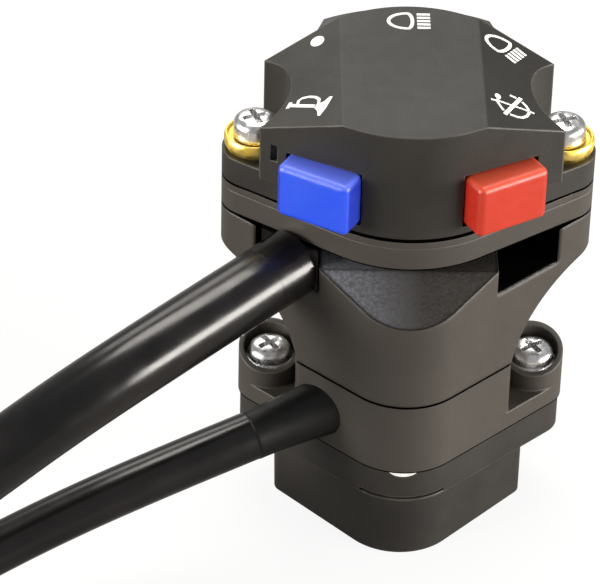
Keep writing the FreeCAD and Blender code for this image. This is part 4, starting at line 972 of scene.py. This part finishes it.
# What the floor throws back on the object is dim, so that the walls stay dark
FLOOR_DIM = (0.3, 0.29, 0.28, 1)
WORLD_STRENGTH = 0.35
LIGHT_TINT = (1, 0.96, 0.9)
LIGHT_AIM = (0, -0.02, -0.01)
# Each lamp: name, place, size and power
LIGHTS = (
    ("key", (0.02, 0.25, 0.78), (0.5, 0.3), 5.0),
    ("left", (-0.85, -0.3, 0.2), (0.5, 0.4), 14.0),
    ("back", (-0.15, 0.65, 0.5), (0.5, 0.3), 1.6),
    ("right", (0.88, -0.3, 0.08), (0.9, 0.4), 28.0),
)


def background(tree, lit, shown):
    """Mixes the shader that lights the object with the one that the camera sees."""
    path = node(tree, "ShaderNodeLightPath")
    mix = node(tree, "ShaderNodeMixShader")
    tree.links.new(path.outputs["Is Camera Ray"], mix.inputs["Fac"])
    tree.links.new(lit, mix.inputs[1])
    tree.links.new(shown, mix.inputs[2])
    return mix.outputs[0]


def make_floor():
    mesh = bmesh.new()
    corners = [mesh.verts.new((x * FLOOR_HALF, y * FLOOR_HALF, FLOOR - FLOOR_DROP))
               for x, y in BOX_CORNERS]
    mesh.faces.new(corners)
    data = bpy.data.meshes.new("floor")
    mesh.to_mesh(data)
    mesh.free()
    floor = bpy.data.objects.new("floor", data)
    bpy.context.collection.objects.link(floor)
    material, tree, shader = new_material("floor")
    shader.inputs["Base Color"].default_value = FLOOR_COLOUR
    shader.inputs["Roughness"].default_value = 0.9
    white = node(tree, "ShaderNodeEmission")
    white.inputs["Strength"].default_value = 1.0
    shown = node(tree, "ShaderNodeMixShader")
    shown.inputs["Fac"].default_value = FLOOR_WHITE
    tree.links.new(shader.outputs[0], shown.inputs[1])
    tree.links.new(white.outputs[0], shown.inputs[2])
    dim = node(tree, "ShaderNodeBsdfDiffuse")
    dim.inputs["Color"].default_value = FLOOR_DIM
    output = tree.nodes["Material Output"]
    tree.links.new(background(tree, dim.outputs[0], shown.outputs[0]), output.inputs["Surface"])
    data.materials.append(material)


def make_world():
    world = bpy.data.worlds.new("world")
    bpy.context.scene.world = world
    world.use_nodes = True
    tree = world.node_tree
    tree.nodes.clear()
    dim = node(tree, "ShaderNodeBackground")
    dim.inputs["Color"].default_value = (1, 1, 1, 1)
    dim.inputs["Strength"].default_value = WORLD_STRENGTH
    white = node(tree, "ShaderNodeBackground")
    white.inputs["Color"].default_value = (1, 1, 1, 1)
    output = node(tree, "ShaderNodeOutputWorld")
    tree.links.new(background(tree, dim.outputs[0], white.outputs[0]), output.inputs["Surface"])


def make_lights():
    for name, place, size, power in LIGHTS:
        data = bpy.data.lights.new(name, "AREA")
        data.shape = "RECTANGLE"
        data.size, data.size_y = size
        data.energy = power
        data.color = LIGHT_TINT
        light = bpy.data.objects.new(name, data)
        bpy.context.collection.objects.link(light)
        direction = Vector(LIGHT_AIM) - Vector(place)
        turn = direction.to_track_quat("-Z", "Y").to_matrix().to_4x4()
        light.matrix_world = Matrix.Translation(place) @ turn


make_camera()
dress_nodes()
make_cables()
make_symbols()
make_fasteners()
make_floor()
make_world()
make_lights()

bpy.context.scene.view_settings.view_transform = "Standard"
